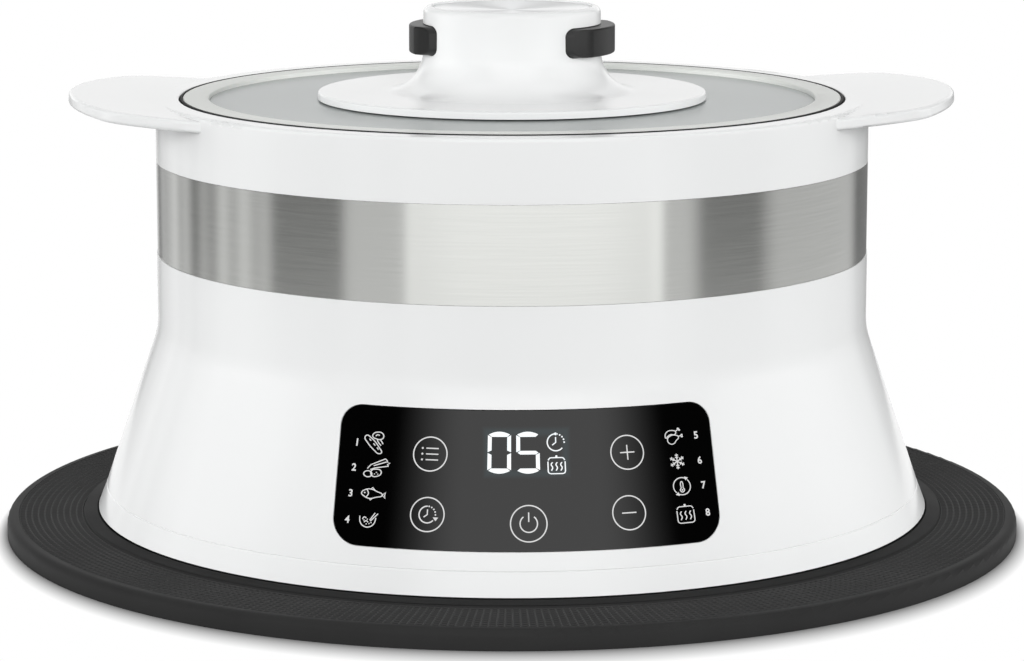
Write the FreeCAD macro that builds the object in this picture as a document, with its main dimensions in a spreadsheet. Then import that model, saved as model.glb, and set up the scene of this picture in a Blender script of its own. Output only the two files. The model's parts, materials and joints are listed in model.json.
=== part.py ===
"""Electric food steamer: a round steam unit that stands on a wide silicone seal.

The seal lies on the rim of a dish.  The unit sends steam down into the dish from its boiler, and a
water tank with a lift-off lid fills its upper half.  Two sprung buttons in the lid's hub hold the lid
to a column in the tank.

Millimetres, +Z up.  The origin is on the surface that the seal lies on, on the unit's axis.  The
control panel faces -Y, and the two lifting ears point along +X and -X.
"""
import FreeCAD, Part
import os
import re

import Sketcher
from FreeCAD import Placement, Rotation, Vector

# ---------------------------------------------------------------- driving sizes
# Each of these can be set by itself.  Angles, in degrees, end in _angle, and counts end in _count.
DIMENSIONS = {
    # general
    "wall": 2.6,
    "rest_gap": 0.3,
    "push_clearance": 0.4,
    "close_fit": 0.1,
    "screw_radius": 1.5,
    "screw_head_radius": 3.0,
    "screw_head": 1.8,
    "screw_clearance": 0.3,
    "screw_land": 1.0,
    # heights of the housing, from the surface up
    "foot_z": 9.3,
    "base_height": 8.3,
    "flare_height": 59.9,
    "neck_height": 29.2,
    "band_width": 35.4,
    "rim_height": 22.9,
    # radii of the housing, from the tank outwards
    "tank_radius": 122.0,
    "tank_flange": 10.2,
    "flange_gap": 0.2,
    "well_gap": 4.0,
    "band_relief": 0.3,
    "flare": 20.6,
    "foot_flare": 3.2,
    # base ring
    "base_rim": 4.3,
    "seam_chamfer": 0.3,
    "foot_chamfer": 0.9,
    "base_screw_inset": 0.6,
    "base_screw_count": 6,
    "base_screw_length": 15.0,
    # silicone seal
    "moat": 0.9,
    "mat_width": 24.5,
    "seal_rim_width": 4.4,
    "seal_rim_z": 7.4,
    "seal_rim_round": 3.0,
    "seal_web_z": 6.9,
    "seal_bead_width": 5.0,
    "seal_bead_z": 8.0,
    "seal_bead_round": 1.0,
    "seal_floor_z": 6.5,
    "seal_floor": 2.1,
    "seal_rib_width": 2.8,
    "seal_rib_z": 13.0,
    "dish_fin_inset": 6.0,
    "dish_fin_width": 1.6,
    "dish_fin_drop": 3.0,
    "dish_fin_count": 4,
    # chamber dome
    "dome_height": 18.4,
    "dome_flare": 13.9,
    "dome_shoulder": 3.6,
    "dome_lip": 2.4,
    "dome_lip_step": 0.8,
    "boiler_peg_count": 4,
    "boiler_peg_radius": 2.8,
    # cowl and band
    "waist_blend": 27.0,
    "cowl_ledge": 4.3,
    "boss_radius": 4.0,
    "boss_height": 17.0,
    "band_thickness": 0.6,
    "band_glue": 0.05,
    "band_joint_angle": 0.3,
    # handle ring
    "rim_round": 1.6,
    "well_round": 0.7,
    "ear_length": 32.4,
    "ear_rise_angle": 4.8,
    "ear_end_radius": 110.0,
    "ear_side_bow": 16.0,
    "ear_side_setback": 26.7,
    "ear_half_depth": 71.7,
    "ear_corner": 18.0,
    "ear_thickness": 4.3,
    "ear_edge_round": 1.3,
    "ear_web": 2.2,
    "ear_rib": 3.0,
    # water tank
    "tank_wall": 2.4,
    "tank_floor_gap": 0.5,
    "tank_rim_drop": 8.2,
    "column_drop": 4.3,
    "column_cup": 3.5,
    "outlet_radius": 5.0,
    # latch collar on the column
    "collar_lip": 5.4,
    "collar_height": 3.8,
    "collar_lead": 1.0,
    "collar_undercut": 1.9,
    "collar_spigot": 2.1,
    # control panel
    "panel_lift": 6.7,
    "panel_height": 46.3,
    "panel_bottom_width": 136.2,
    "panel_top_width": 127.6,
    "panel_thickness": 1.6,
    "panel_proud": 0.2,
    "panel_corner": 8.0,
    "panel_gap": 0.25,
    "window_width": 34.0,
    "window_lift": 23.2,
    "window_height": 18.0,
    "key_angle": 13.7,
    "key_lower_lift": 11.5,
    "key_upper_lift": 31.5,
    "start_key_lift": 9.2,
    "key_hole_radius": 4.0,
    "touch_pad_radius": 3.4,
    # boards behind the panel
    "board": 1.6,
    "touch_board_lift": 21.7,
    "touch_board_width": 112.0,
    "touch_board_height": 42.0,
    "touch_board_depth": 17.0,
    "display_width": 30.0,
    "display_height": 15.0,
    "display_depth": 12.0,
    "display_raise": 10.5,
    # power board
    "board_standoff": 10.0,
    "board_gap": 8.0,
    "power_board_width": 100.0,
    "terminal_gap": 1.2,
    "peg_inset": 5.0,
    "transformer_inset": 14.0,
    "transformer_width": 30.0,
    "transformer_depth": 26.0,
    "transformer_height": 22.0,
    "relay_width": 20.0,
    "relay_depth": 15.0,
    "relay_height": 16.0,
    "board_margin": 10.0,
    "capacitor_inset": 16.0,
    "capacitor_radius": 6.0,
    "capacitor_height": 20.0,
    "terminal_width": 26.0,
    "terminal_depth": 14.0,
    "terminal_height": 12.0,
    "terminal_inset": 4.5,
    "terminal_hole_radius": 2.0,
    # mains gland
    "gland_width": 15.4,
    "gland_height": 13.2,
    "gland_bore": 3.6,
    "gland_depth": 12.4,
    "gland_proud": 2.7,
    "gland_flange": 2.5,
    "gland_lip": 2.0,
    "gland_corner": 3.0,
    # boiler
    "boiler_radius": 44.0,
    "boiler_wall": 6.0,
    "boiler_lift": 8.0,
    "boiler_height": 22.0,
    "boiler_base": 7.4,
    "nozzle_radius": 10.0,
    "nozzle_bore": 6.0,
    "nozzle_drop": 7.0,
    "steam_space": 4.0,
    "boiler_seal": 0.8,
    "boiler_seal_width": 2.4,
    "cover_thickness": 2.4,
    "cover_rim": 1.4,
    "cover_skirt": 8.0,
    "element_inset": 10.5,
    "element_radius": 3.8,
    "element_channel": 4.6,
    "element_angle": 310.0,
    "element_pin_angle": 6.0,
    "element_pin_radius": 2.0,
    "element_pin": 5.5,
    "stub_radius": 3.2,
    "stub_wall": 1.0,
    "stub_length": 8.0,
    "stub_drop": 8.0,
    "hose_wall": 1.6,
    "hose_gap": 0.2,
    "thermostat_x": 18.0,
    "thermostat_radius": 8.5,
    "thermostat_height": 5.8,
    "thermostat_flange": 1.3,
    "blade": 0.8,
    "blade_width": 5.2,
    "fuse_x": -20.0,
    "fuse_radius": 2.2,
    "fuse_length": 14.0,
    "fuse_saddle": 1.0,
    "nozzle_seal_radius": 14.0,
    "nozzle_seal_flange": 3.0,
    "nozzle_seal_lip": 1.6,
    "diffuser_radius": 38.0,
    "diffuser_drop": 5.0,
    "diffuser_window": 8.0,
    # water valve
    "valve_shift": 2.0,
    "valve_gap": 2.0,
    "valve_width": 26.0,
    "valve_depth": 22.0,
    "valve_height": 26.0,
    "coil_radius": 10.0,
    "coil_length": 11.0,
    # lid
    "lid_gap": 1.4,
    "lid_proud": 0.15,
    "lid_ring_width": 9.8,
    "lid_ledge": 4.3,
    "lid_ledge_thickness": 3.1,
    "lid_edge": 1.2,
    "lid_round": 0.5,
    "gasket_depth": 2.0,
    "gasket_height": 4.6,
    "window_fit": 0.2,
    "pane_recess": 1.65,
    "pane": 3.2,
    "pane_hole_gap": 1.2,
    # hub, disc and cap
    "disc_radius": 73.6,
    "disc_seat": 0.7,
    "disc_thickness": 2.7,
    "disc_round": 0.8,
    "hub_radius": 34.0,
    "hub_wall": 3.0,
    "column_gap": 9.6,
    "hub_taper": 0.4,
    "hub_height": 32.0,
    "hub_blend": 15.0,
    "hub_round": 2.4,
    "cap_margin": 3.7,
    "cap_gap": 0.25,
    "cap_recess": 0.7,
    "cap_dish": 0.9,
    "cap_thickness": 2.6,
    "clamp_margin": 8.0,
    "clamp_thickness": 2.6,
    "lid_screw_offset": 3.5,
    "lid_screw_count": 4,
    "lid_screw_length": 9.0,
    "lid_boss_radius": 3.3,
    # latches
    "latch_angle": 12.3,
    "latch_travel": 3.0,
    "slot_angle": 87.0,
    "slot_lift": 14.3,
    "slot_height": 11.3,
    "slot_corner": 3.2,
    "button_clearance": 0.35,
    "button_proud": 5.0,
    "button_side_proud": 2.8,
    "button_facet": 6.8,
    "button_edge_round": 0.7,
    "stop_lap": 2.0,
    "leg_width": 12.0,
    "leg_thickness": 3.0,
    "leg_gap": 0.6,
    "hook_width": 2.6,
    "hook_height": 2.9,
    "hook_gap": 0.4,
    "spring_strip": 0.6,
    "spring_width": 6.0,
    "spring_angle": 300.0,
    "spring_rise": 1.5,
    "carrier_wall": 2.4,
    "spring_post": 2.5,
    "spring_post_width": 24.0,
    "spring_post_height": 9.0,
}

# Sizes that follow from the driving ones: pieces that fit each other share them.
DERIVED = {
    # heights
    "seam_z": "foot_z + base_height",
    "waist_z": "seam_z + flare_height",
    "band_bottom_z": "waist_z + neck_height",
    "band_top_z": "band_bottom_z + band_width",
    "rim_z": "band_top_z + rim_height",
    "lid_z": "rim_z + lid_proud",
    "pane_z": "lid_z - pane_recess",
    "pane_bottom_z": "pane_z - pane",
    "clamp_bottom_z": "pane_bottom_z - clamp_thickness",
    "lid_bottom_z": "pane_bottom_z - lid_ledge_thickness",
    "disc_bottom_z": "pane_z + disc_seat",
    "disc_z": "disc_bottom_z + disc_thickness",
    "hub_z": "disc_z + hub_height",
    "cap_z": "hub_z - cap_recess",
    "slot_bottom_z": "disc_z + slot_lift",
    "slot_top_z": "slot_bottom_z + slot_height",
    "tank_floor_z": "waist_z + tank_floor_gap",
    "tank_flange_z": "band_top_z + tank_wall",
    "tank_rim_z": "rim_z - tank_rim_drop",
    "column_z": "tank_rim_z - column_drop",
    "column_cup_z": "column_z - column_cup",
    "collar_z": "column_z + collar_height",
    "flange_bottom_z": "seam_z - wall",
    "dome_flange_z": "seam_z - 2 * wall",
    "dome_top_z": "seam_z + dome_height",
    "nozzle_bottom_z": "dome_top_z - nozzle_drop",
    "diffuser_z": "nozzle_bottom_z - diffuser_drop",
    "boiler_bottom_z": "dome_top_z + boiler_lift",
    "boiler_top_z": "boiler_bottom_z + boiler_height",
    "cover_top_z": "boiler_top_z + boiler_seal + cover_thickness",
    "standpipe_z": "boiler_top_z - steam_space",
    "stub_z": "boiler_top_z - stub_drop",
    "power_board_z": "dome_top_z + board_standoff",
    "valve_top_z": "tank_floor_z - valve_gap",
    "valve_bottom_z": "valve_top_z - valve_height",
    "panel_bottom_z": "seam_z + panel_lift",
    "panel_top_z": "panel_bottom_z + panel_height",
    "window_bottom_z": "panel_bottom_z + window_lift",
    "window_top_z": "window_bottom_z + window_height",
    "key_lower_z": "panel_bottom_z + key_lower_lift",
    "key_upper_z": "panel_bottom_z + key_upper_lift",
    "start_key_z": "panel_bottom_z + start_key_lift",
    "touch_board_z": "panel_bottom_z + touch_board_lift",
    # radii
    "tank_flange_radius": "tank_radius + tank_flange",
    "band_radius": "tank_flange_radius + flange_gap + wall",
    "band_seat": "band_radius - band_thickness",
    "cowl_bore": "band_seat - wall",
    "well_radius": "tank_radius + well_gap",
    "waist_radius": "band_radius + band_relief",
    "seam_radius": "waist_radius + flare",
    "foot_radius": "seam_radius + foot_flare",
    "seal_rib_radius": "foot_radius - base_rim - push_clearance - seal_rib_width / 2",
    "base_foot_radius": "seal_rib_radius - seal_rib_width / 2 - push_clearance - wall",
    "base_screw_circle": "base_foot_radius - screw_head_radius - base_screw_inset",
    "base_flange_radius": "base_screw_circle - screw_head_radius - screw_land",
    "seal_opening_radius": "base_flange_radius - screw_head_radius",
    "dome_flange_radius": "base_foot_radius - push_clearance",
    "dome_shoulder_radius": "base_flange_radius - dome_shoulder",
    "dome_lip_radius": "dome_shoulder_radius - dome_lip_step",
    "dome_top_radius": "dome_shoulder_radius - dome_flare",
    "seal_bead_radius": "foot_radius + moat + seal_bead_width",
    "seal_rim_inner": "seal_bead_radius + mat_width",
    "seal_radius": "seal_rim_inner + seal_rim_width",
    "dish_fin_radius": "seal_opening_radius + dish_fin_inset",
    "dish_fin_pitch": "(seal_rim_inner - dish_fin_radius) / (dish_fin_count - 0.5)",
    "ear_reach": "band_radius + ear_length",
    "ear_root": "(band_radius + well_radius) / 2",
    "ear_side_x": "band_radius - ear_side_setback",
    "ear_side_radius": "ear_half_depth + ear_side_bow",
    "lid_radius": "well_radius - lid_gap",
    "lid_opening_radius": "lid_radius - lid_ring_width",
    "gasket_radius": "well_radius - push_clearance",
    # hub and latches
    "hub_bore": "hub_radius - hub_wall",
    "column_radius": "hub_radius - column_gap",
    "cap_radius": "hub_radius - cap_margin",
    "carrier_radius": "hub_bore - push_clearance",
    "lid_screw_circle": "hub_radius + lid_screw_offset",
    "pane_hole_radius": "lid_screw_circle + lid_boss_radius + pane_hole_gap",
    "clamp_radius": "pane_hole_radius + clamp_margin",
    "clamp_hole_radius": "column_radius - tank_wall",
    "slot_width": "2 * hub_radius * sin(slot_angle / 2 * 1deg)",
    "button_reach": "hub_radius + button_proud",
    "button_facet_x": "sqrt(hub_radius ^ 2 - (slot_width / 2) ^ 2) + button_side_proud",
    "button_face_width": "slot_width - 2 * button_facet",
    "stop_width": "slot_width + 2 * stop_lap",
    "stop_front_x": "sqrt(hub_bore ^ 2 - (stop_width / 2) ^ 2) - rest_gap",
    "collar_bore": "column_radius - collar_lip",
    "hook_reach": "collar_bore - hook_gap",
    "stop_back_x": "hook_reach - hook_width - leg_thickness",
    # inside the housing
    "taper": "(seam_radius - waist_radius) / (waist_z - seam_z)",
    "slant_wall": "wall * sqrt(1 + taper ^ 2)",
    "element_circle": "boiler_radius - element_inset",
    "stub_end": "boiler_radius + stub_length",
    "outlet_x": "(boiler_radius + tank_radius) / 2 + valve_shift",
    "terminal_y": "dome_top_radius - terminal_inset - terminal_depth",
    "power_board_y": "boiler_radius + board_gap",
    "power_board_depth": "terminal_y - terminal_gap - power_board_y",
    "gland_inner_y": "seam_radius - gland_depth",
    "gland_outer_y": "seam_radius + gland_proud",
}
NAMES = DIMENSIONS.keys() | DERIVED.keys()
TOUCH = 0.01  # two lengths or directions closer than this count as one


def cone(height):
    """Radius of the cowl's outer cone at a height."""
    return f"(seam_radius - ({height} - seam_z) * taper)"


# ---------------------------------------------------------------- document and sheet
doc = FreeCAD.newDocument("food_steamer")
sheet = doc.addObject("Spreadsheet::Sheet", "Dimensions")
for row, (name, content) in enumerate((DIMENSIONS | DERIVED).items(), start=1):
    sheet.set(f"A{row}", name)
    sheet.set(f"B{row}", str(content) if name in DIMENSIONS else f"={content}")
    sheet.setAlias(f"B{row}", name)
doc.recompute()


def bound(text):
    """Point the size names in an expression at the sheet."""
    return re.sub(r"[a-z]\w*", lambda word: f"Dimensions.{word[0]}" if word[0] in NAMES else word[0], text)


def size(text):
    """Present value of an expression."""
    value = sheet.evalExpression(bound(text))
    return float(getattr(value, "Value", value))


# ---------------------------------------------------------------- sketches and PartDesign features
def new_body(label):
    body = doc.addObject("PartDesign::Body", label)
    body.Label = label
    return body


def sketch_on(body, plane, height="0"):
    """Empty sketch on one of the body's origin planes, raised along that plane's normal."""
    origin = next(item for item in body.Origin.OriginFeatures if item.Role == f"{plane}_Plane")
    sketch = body.newObject("Sketcher::SketchObject", f"{body.Name}_sketch")
    sketch.AttachmentSupport = [(origin, "")]
    sketch.MapMode = "FlatFace"
    sketch.setExpression("AttachmentOffset.Base.z", bound(height))
    return sketch


def hold(sketch, item, end, x, y):
    """Tie one point of a sketch to two expressions."""
    for kind, axis, text in (("DistanceX", -2, x), ("DistanceY", -1, y)):
        if near(size(text), 0):
            sketch.addConstraint(Sketcher.Constraint("PointOnObject", item, end, axis))
        else:
            number = sketch.addConstraint(Sketcher.Constraint(kind, -1, 1, item, end, size(text)))
            sketch.setExpression(f"Constraints[{number}]", bound(text))


def draw_outline(sketch, points):
    """Closed outline of straight lines."""
    corners = [Vector(size(x), size(y), 0) for x, y in points]
    ends = corners[1:] + corners[:1]
    lines = [sketch.addGeometry(Part.LineSegment(start, end)) for start, end in zip(corners, ends)]
    for line, following in zip(lines, lines[1:] + lines[:1]):
        sketch.addConstraint(Sketcher.Constraint("Coincident", line, 2, following, 1))
    for line, (x, y) in zip(lines, points):
        hold(sketch, line, 1, x, y)


def draw_box(sketch, x_low, x_high, y_low, y_high):
    draw_outline(sketch, [(x_low, y_low), (x_high, y_low), (x_high, y_high), (x_low, y_high)])


def draw_circle(sketch, x, y, radius):
    circle = sketch.addGeometry(Part.Circle(Vector(size(x), size(y), 0), Vector(0, 0, 1), size(radius)))
    number = sketch.addConstraint(Sketcher.Constraint("Radius", circle, size(radius)))
    sketch.setExpression(f"Constraints[{number}]", bound(radius))
    hold(sketch, circle, 3, x, y)


def draw_ring_of_circles(sketch, circle_radius, count, radius, first="0"):
    """Equal circles round the origin, the first at an angle from the sketch's X axis."""
    for number in range(round(size(count))):
        turn = f"({first} + 360 * {number} / {count}) * 1deg"
        draw_circle(sketch, f"{circle_radius} * cos({turn})", f"{circle_radius} * sin({turn})", radius)


def finish_feature(body, feature, cuts):
    """Recompute, and make sure that a feature added or removed material."""
    before = body.Shape.Volume if body.Shape.Solids else 0.0
    doc.recompute()
    if not feature.isValid():
        raise RuntimeError(f"{feature.Label}: {feature.getStatusString()}")
    change = body.Shape.Volume - before
    if (change >= 0) if cuts else (change <= 0):
        raise RuntimeError(f"{feature.Label} changes nothing")
    return feature


def revolve(body, points, plane="XZ", angle="360", cuts=False):
    """Turn an outline round the Z axis, evenly to both sides of the sketch."""
    sketch = sketch_on(body, plane)
    draw_outline(sketch, points)
    return revolve_sketch(body, sketch, angle, cuts)


def revolve_sketch(body, sketch, angle="360", cuts=False):
    kind = "PartDesign::Groove" if cuts else "PartDesign::Revolution"
    feature = body.newObject(kind, f"{body.Name}_turned")
    feature.Profile = sketch
    feature.ReferenceAxis = (sketch, ["V_Axis"])
    feature.Midplane = angle != "360"
    feature.setExpression("Angle", bound(angle))
    return finish_feature(body, feature, cuts)


def extrude(body, sketch, length, cuts=False, backwards=False):
    """Pad along the sketch's normal, or pocket against it; backwards turns either round."""
    kind = "PartDesign::Pocket" if cuts else "PartDesign::Pad"
    feature = body.newObject(kind, f"{body.Name}_extruded")
    feature.Profile = sketch
    feature.Reversed = backwards
    feature.setExpression("Length", bound(length))
    return finish_feature(body, feature, cuts)


def soften(body, radius, is_chosen, kind="Fillet"):
    """Fillet or chamfer every edge of the body that is_chosen picks."""
    edges = [f"Edge{number}" for number, edge in enumerate(body.Shape.Edges, start=1) if is_chosen(edge)]
    if not edges:
        raise RuntimeError(f"{body.Label}: no edge to soften")
    base = body.Tip
    feature = body.newObject(f"PartDesign::{kind}", f"{body.Name}_{kind.lower()}")
    feature.Base = (base, edges)
    feature.setExpression("Radius" if kind == "Fillet" else "Size", bound(radius))
    body.Tip = feature
    doc.recompute()
    if not feature.isValid():
        raise RuntimeError(f"{feature.Label}: {feature.getStatusString()}")
    return feature


def near(first, second):
    return abs(first - second) < TOUCH


def circle_at(radius, height):
    """Picks circular edges round the Z axis by radius and height."""
    def is_chosen(edge):
        curve = edge.Curve
        return (isinstance(curve, Part.Circle) and near(curve.Radius, size(radius))
                and near(curve.Center.z, size(height)) and near(curve.Center.x, 0) and near(curve.Center.y, 0))
    return is_chosen


def line_along(axis, length=None):
    """Picks straight edges parallel to an axis, of one length if it is given."""
    def is_chosen(edge):
        if not isinstance(edge.Curve, Part.Line):
            return False
        along = edge.tangentAt(edge.FirstParameter).cross(axis).Length < TOUCH
        return along and (length is None or near(edge.Length, size(length)))
    return is_chosen


# ---------------------------------------------------------------- Part primitives and booleans
def put(item, x="0", y="0", z="0", axis=Vector(0, 0, 1), angle="0"):
    """Bind an object's place to expressions."""
    item.Placement = Placement(Vector(size(x), size(y), size(z)), Rotation(axis, 1))
    for name, text in (("x", x), ("y", y), ("z", z)):
        item.setExpression(f"Placement.Base.{name}", bound(text))
    item.setExpression("Placement.Rotation.Angle", bound(f"({angle}) * 1deg"))
    return item


def primitive(kind, label, sizes, **place):
    """Part primitive with its sizes and place bound to the sheet."""
    item = doc.addObject(f"Part::{kind}", label)
    for name, text in sizes.items():
        item.setExpression(name, bound(text))
    return put(item, **place)


def box(label, x, y, z):
    """Upright box between pairs of expressions."""
    spans = {"Length": f"{x[1]} - ({x[0]})", "Width": f"{y[1]} - ({y[0]})", "Height": f"{z[1]} - ({z[0]})"}
    return primitive("Box", label, spans, x=x[0], y=y[0], z=z[0])


def rod(label, radius, length, **place):
    return primitive("Cylinder", label, {"Radius": radius, "Height": length}, **place)


def combine(kind, label, items):
    """MultiFuse or MultiCommon of several objects."""
    result = doc.addObject(f"Part::{kind}", label)
    result.Shapes = items
    doc.recompute()
    return result


def cut(label, base, tool):
    result = doc.addObject("Part::Cut", label)
    result.Base = base
    result.Tool = tool
    doc.recompute()
    return result


def group(label, items):
    """One node of several separate solids."""
    result = doc.addObject("Part::Compound", label)
    result.Links = items
    doc.recompute()
    return result


def screws(label, count, circle, head_z, length, first="0"):
    """Pan-head screws that point up, evenly round a circle, with their heads below head_z."""
    items = []
    for number in range(round(size(count))):
        turn = f"(({first}) + 360 * {number} / {count}) * 1deg"
        x, y = f"{circle} * cos({turn})", f"{circle} * sin({turn})"
        head = rod(f"{label}_head", "screw_head_radius", "screw_head", x=x, y=y, z=f"{head_z} - screw_head")
        shank = rod(f"{label}_shank", "screw_radius", length, x=x, y=y, z=head_z)
        items.append(combine("MultiFuse", f"{label}_screw", [head, shank]))
    return group(label, items)


def screw_holes(body, count, circle, bottom, height, first="0", radius="screw_radius + screw_clearance"):
    sketch = sketch_on(body, "XY", bottom)
    draw_ring_of_circles(sketch, circle, count, radius, first)
    return extrude(body, sketch, height, cuts=True, backwards=True)


# ---------------------------------------------------------------- silicone seal
def silicone_seal():
    """Wide flat skirt with a rounded rim, a bead round the unit and a rib that plugs into its base."""
    body = new_body("silicone_seal")
    bead_inner = "(seal_bead_radius - seal_bead_width)"
    rib_inner = "(seal_rib_radius - seal_rib_width / 2)"
    rib_outer = "(seal_rib_radius + seal_rib_width / 2)"
    web_bottom = "(seal_floor_z - seal_floor)"
    underside = [("seal_opening_radius", web_bottom)]
    for number in range(round(size("dish_fin_count"))):
        inner = f"(dish_fin_radius + {number} * dish_fin_pitch)"
        fin_bottom = f"{web_bottom} - dish_fin_drop"
        underside += [(inner, web_bottom), (inner, fin_bottom)]
        underside += [(f"{inner} + dish_fin_width", fin_bottom), (f"{inner} + dish_fin_width", web_bottom)]
    revolve(body, underside + [
        ("seal_rim_inner", web_bottom),
        ("seal_rim_inner", "0"),
        ("seal_radius", "0"),
        ("seal_radius", "seal_rim_z"),
        ("seal_rim_inner", "seal_rim_z"),
        ("seal_rim_inner", "seal_web_z"),
        ("seal_bead_radius", "seal_web_z"),
        ("seal_bead_radius", "seal_bead_z"),
        (bead_inner, "seal_bead_z"),
        (bead_inner, "seal_floor_z"),
        (rib_outer, "seal_floor_z"),
        (rib_outer, "seal_rib_z"),
        (rib_inner, "seal_rib_z"),
        (rib_inner, "seal_floor_z"),
        ("seal_opening_radius", "seal_floor_z"),
    ])
    soften(body, "seal_rim_round", circle_at("seal_radius", "seal_rim_z"))
    soften(body, "seal_bead_round", lambda edge: circle_at("seal_bead_radius", "seal_bead_z")(edge)
           or circle_at(bead_inner, "seal_bead_z")(edge))
    return body


# ---------------------------------------------------------------- housing
def base_ring():
    """Channel ring: its foot stands on the seal, and the seal's rib plugs into its channel."""
    body = new_body("base_ring")
    channel_inner = "(base_foot_radius + wall)"
    channel_outer = "(seal_rib_radius + seal_rib_width / 2 + push_clearance)"
    revolve(body, [
        ("foot_radius", "foot_z"),
        ("seam_radius", "seam_z"),
        ("base_flange_radius", "seam_z"),
        ("base_flange_radius", "flange_bottom_z"),
        ("base_foot_radius", "flange_bottom_z"),
        ("base_foot_radius", "seal_floor_z + rest_gap"),
        (channel_inner, "seal_floor_z + rest_gap"),
        (channel_inner, "flange_bottom_z"),
        (channel_outer, "flange_bottom_z"),
        (channel_outer, "foot_z"),
    ])
    screw_holes(body, "base_screw_count", "base_screw_circle", "flange_bottom_z", "wall")
    soften(body, "seam_chamfer", circle_at("seam_radius", "seam_z"), "Chamfer")
    soften(body, "foot_chamfer", circle_at("foot_radius", "foot_z"))
    return body


def cowl():
    """White housing: a cone that blends into a cylinder, with the seat of the steel band above."""
    body = new_body("cowl_moulding")
    inner_foot = "(seam_radius - slant_wall)"
    inner_waist_z = f"(seam_z + ({inner_foot} - cowl_bore) / taper)"
    ledge_radius = "(cowl_bore - cowl_ledge)"
    revolve(body, [
        ("seam_radius", "seam_z"),
        ("waist_radius", "waist_z"),
        ("waist_radius", "band_bottom_z"),
        ("band_seat", "band_bottom_z"),
        ("band_seat", "band_top_z"),
        (ledge_radius, "band_top_z"),
        (ledge_radius, "band_top_z - wall"),
        ("cowl_bore", "band_top_z - wall"),
        ("cowl_bore", inner_waist_z),
        (inner_foot, "seam_z"),
    ])
    soften(body, "waist_blend", circle_at("waist_radius", "waist_z"))
    soften(body, "waist_blend + wall", circle_at("cowl_bore", inner_waist_z))
    soften(body, "seam_chamfer", circle_at("seam_radius", "seam_z"), "Chamfer")

    bosses = sketch_on(body, "XY", "seam_z")
    draw_ring_of_circles(bosses, "base_screw_circle", "base_screw_count", "boss_radius")
    extrude(body, bosses, "boss_height")
    screw_holes(body, "base_screw_count", "base_screw_circle", "seam_z", "base_screw_length - 2 * wall + screw_land",
                radius="screw_radius + close_fit / 2")

    front = sketch_on(body, "XZ")
    draw_box(front, "-window_width / 2", "window_width / 2", "window_bottom_z", "window_top_z")
    extrude(body, front, "foot_radius", cuts=True, backwards=True)

    rear = sketch_on(body, "XZ")
    draw_box(rear, "-gland_width / 2 - panel_gap", "gland_width / 2 + panel_gap",
             "seam_z - wall", "seam_z + gland_height + 2 * panel_gap")
    extrude(body, rear, "foot_radius", cuts=True)
    seat = panel_layer("panel_seat", "panel_gap", "panel_thickness - panel_proud", "wall")
    holes = [key_rod("key_hole", "key_hole_radius", x, z) for x, z in key_places()]
    return cut("cowl", body, combine("MultiFuse", "cowl_openings", [seat] + holes))


def key_places():
    """X and height of the five touch keys: two columns of two, and the start key between them."""
    places = [("0", "start_key_z")]
    for side in (-1, 1):
        for height in ("key_lower_z", "key_upper_z"):
            places.append((f"{side} * {cone(height)} * sin(key_angle * 1deg)", height))
    return places


def panel_layer(label, gap, depth, proud):
    """Layer of the cone with the panel's outline, from a depth below the cone to a height above it."""
    outline = new_body(f"{label}_outline")
    sketch = sketch_on(outline, "XZ")
    low, high = f"(panel_bottom_width / 2 + {gap})", f"(panel_top_width / 2 + {gap})"
    draw_outline(sketch, [
        (f"-{low}", f"panel_bottom_z - {gap}"),
        (low, f"panel_bottom_z - {gap}"),
        (high, f"panel_top_z + {gap}"),
        (f"-{high}", f"panel_top_z + {gap}"),
    ])
    extrude(outline, sketch, "foot_radius")
    soften(outline, f"panel_corner + {gap}", line_along(Vector(0, 1, 0)))
    outside = cone_between(f"{label}_outside", proud)
    inside = cone_between(f"{label}_inside", f"-({depth})")
    return combine("MultiCommon", label, [outline, cut(f"{label}_layer", outside, inside)])


def cone_between(label, offset):
    """Solid cone behind the panel, its surface moved out from the cowl's by an offset."""
    low_z, high_z = "(panel_bottom_z - wall)", "(panel_top_z + wall)"
    radii = {"Radius1": f"{cone(low_z)} + {offset}", "Radius2": f"{cone(high_z)} + {offset}"}
    return primitive("Cone", label, radii | {"Height": f"{high_z} - {low_z}"}, z=low_z)


def control_panel():
    """Black glass overlay that follows the cone, in its seat."""
    return panel_layer("control_panel", "0", "panel_thickness - panel_proud", "panel_proud")


def steel_band():
    """Brushed strip glued round its seat, with its joint at the back."""
    body = new_body("steel_band")
    revolve(body, [
        ("-band_seat - band_glue", "band_bottom_z"),
        ("-band_radius", "band_bottom_z"),
        ("-band_radius", "band_top_z"),
        ("-band_seat - band_glue", "band_top_z"),
    ], plane="YZ", angle="360 - band_joint_angle")
    return body


def handle_ring():
    """Upper rim of the housing with a thin lifting ear on each side."""
    rim = new_body("handle_rim")
    revolve(rim, [
        ("band_radius", "band_top_z"),
        ("band_radius", "rim_z"),
        ("well_radius", "rim_z"),
        ("well_radius", "tank_flange_z"),
        ("well_radius + wall", "tank_flange_z"),
        ("well_radius + wall", "rim_z - wall"),
        ("band_radius - wall", "rim_z - wall"),
        ("band_radius - wall", "band_top_z"),
    ])
    soften(rim, "rim_round", circle_at("band_radius", "rim_z"))
    soften(rim, "well_round", circle_at("well_radius", "rim_z"))
    right = ear()
    left = doc.addObject("Part::Mirroring", "ear_left")
    left.Source = right
    left.Normal = Vector(1, 0, 0)
    doc.recompute()
    return combine("MultiFuse", "handle_ring", [rim, right, left])


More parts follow.
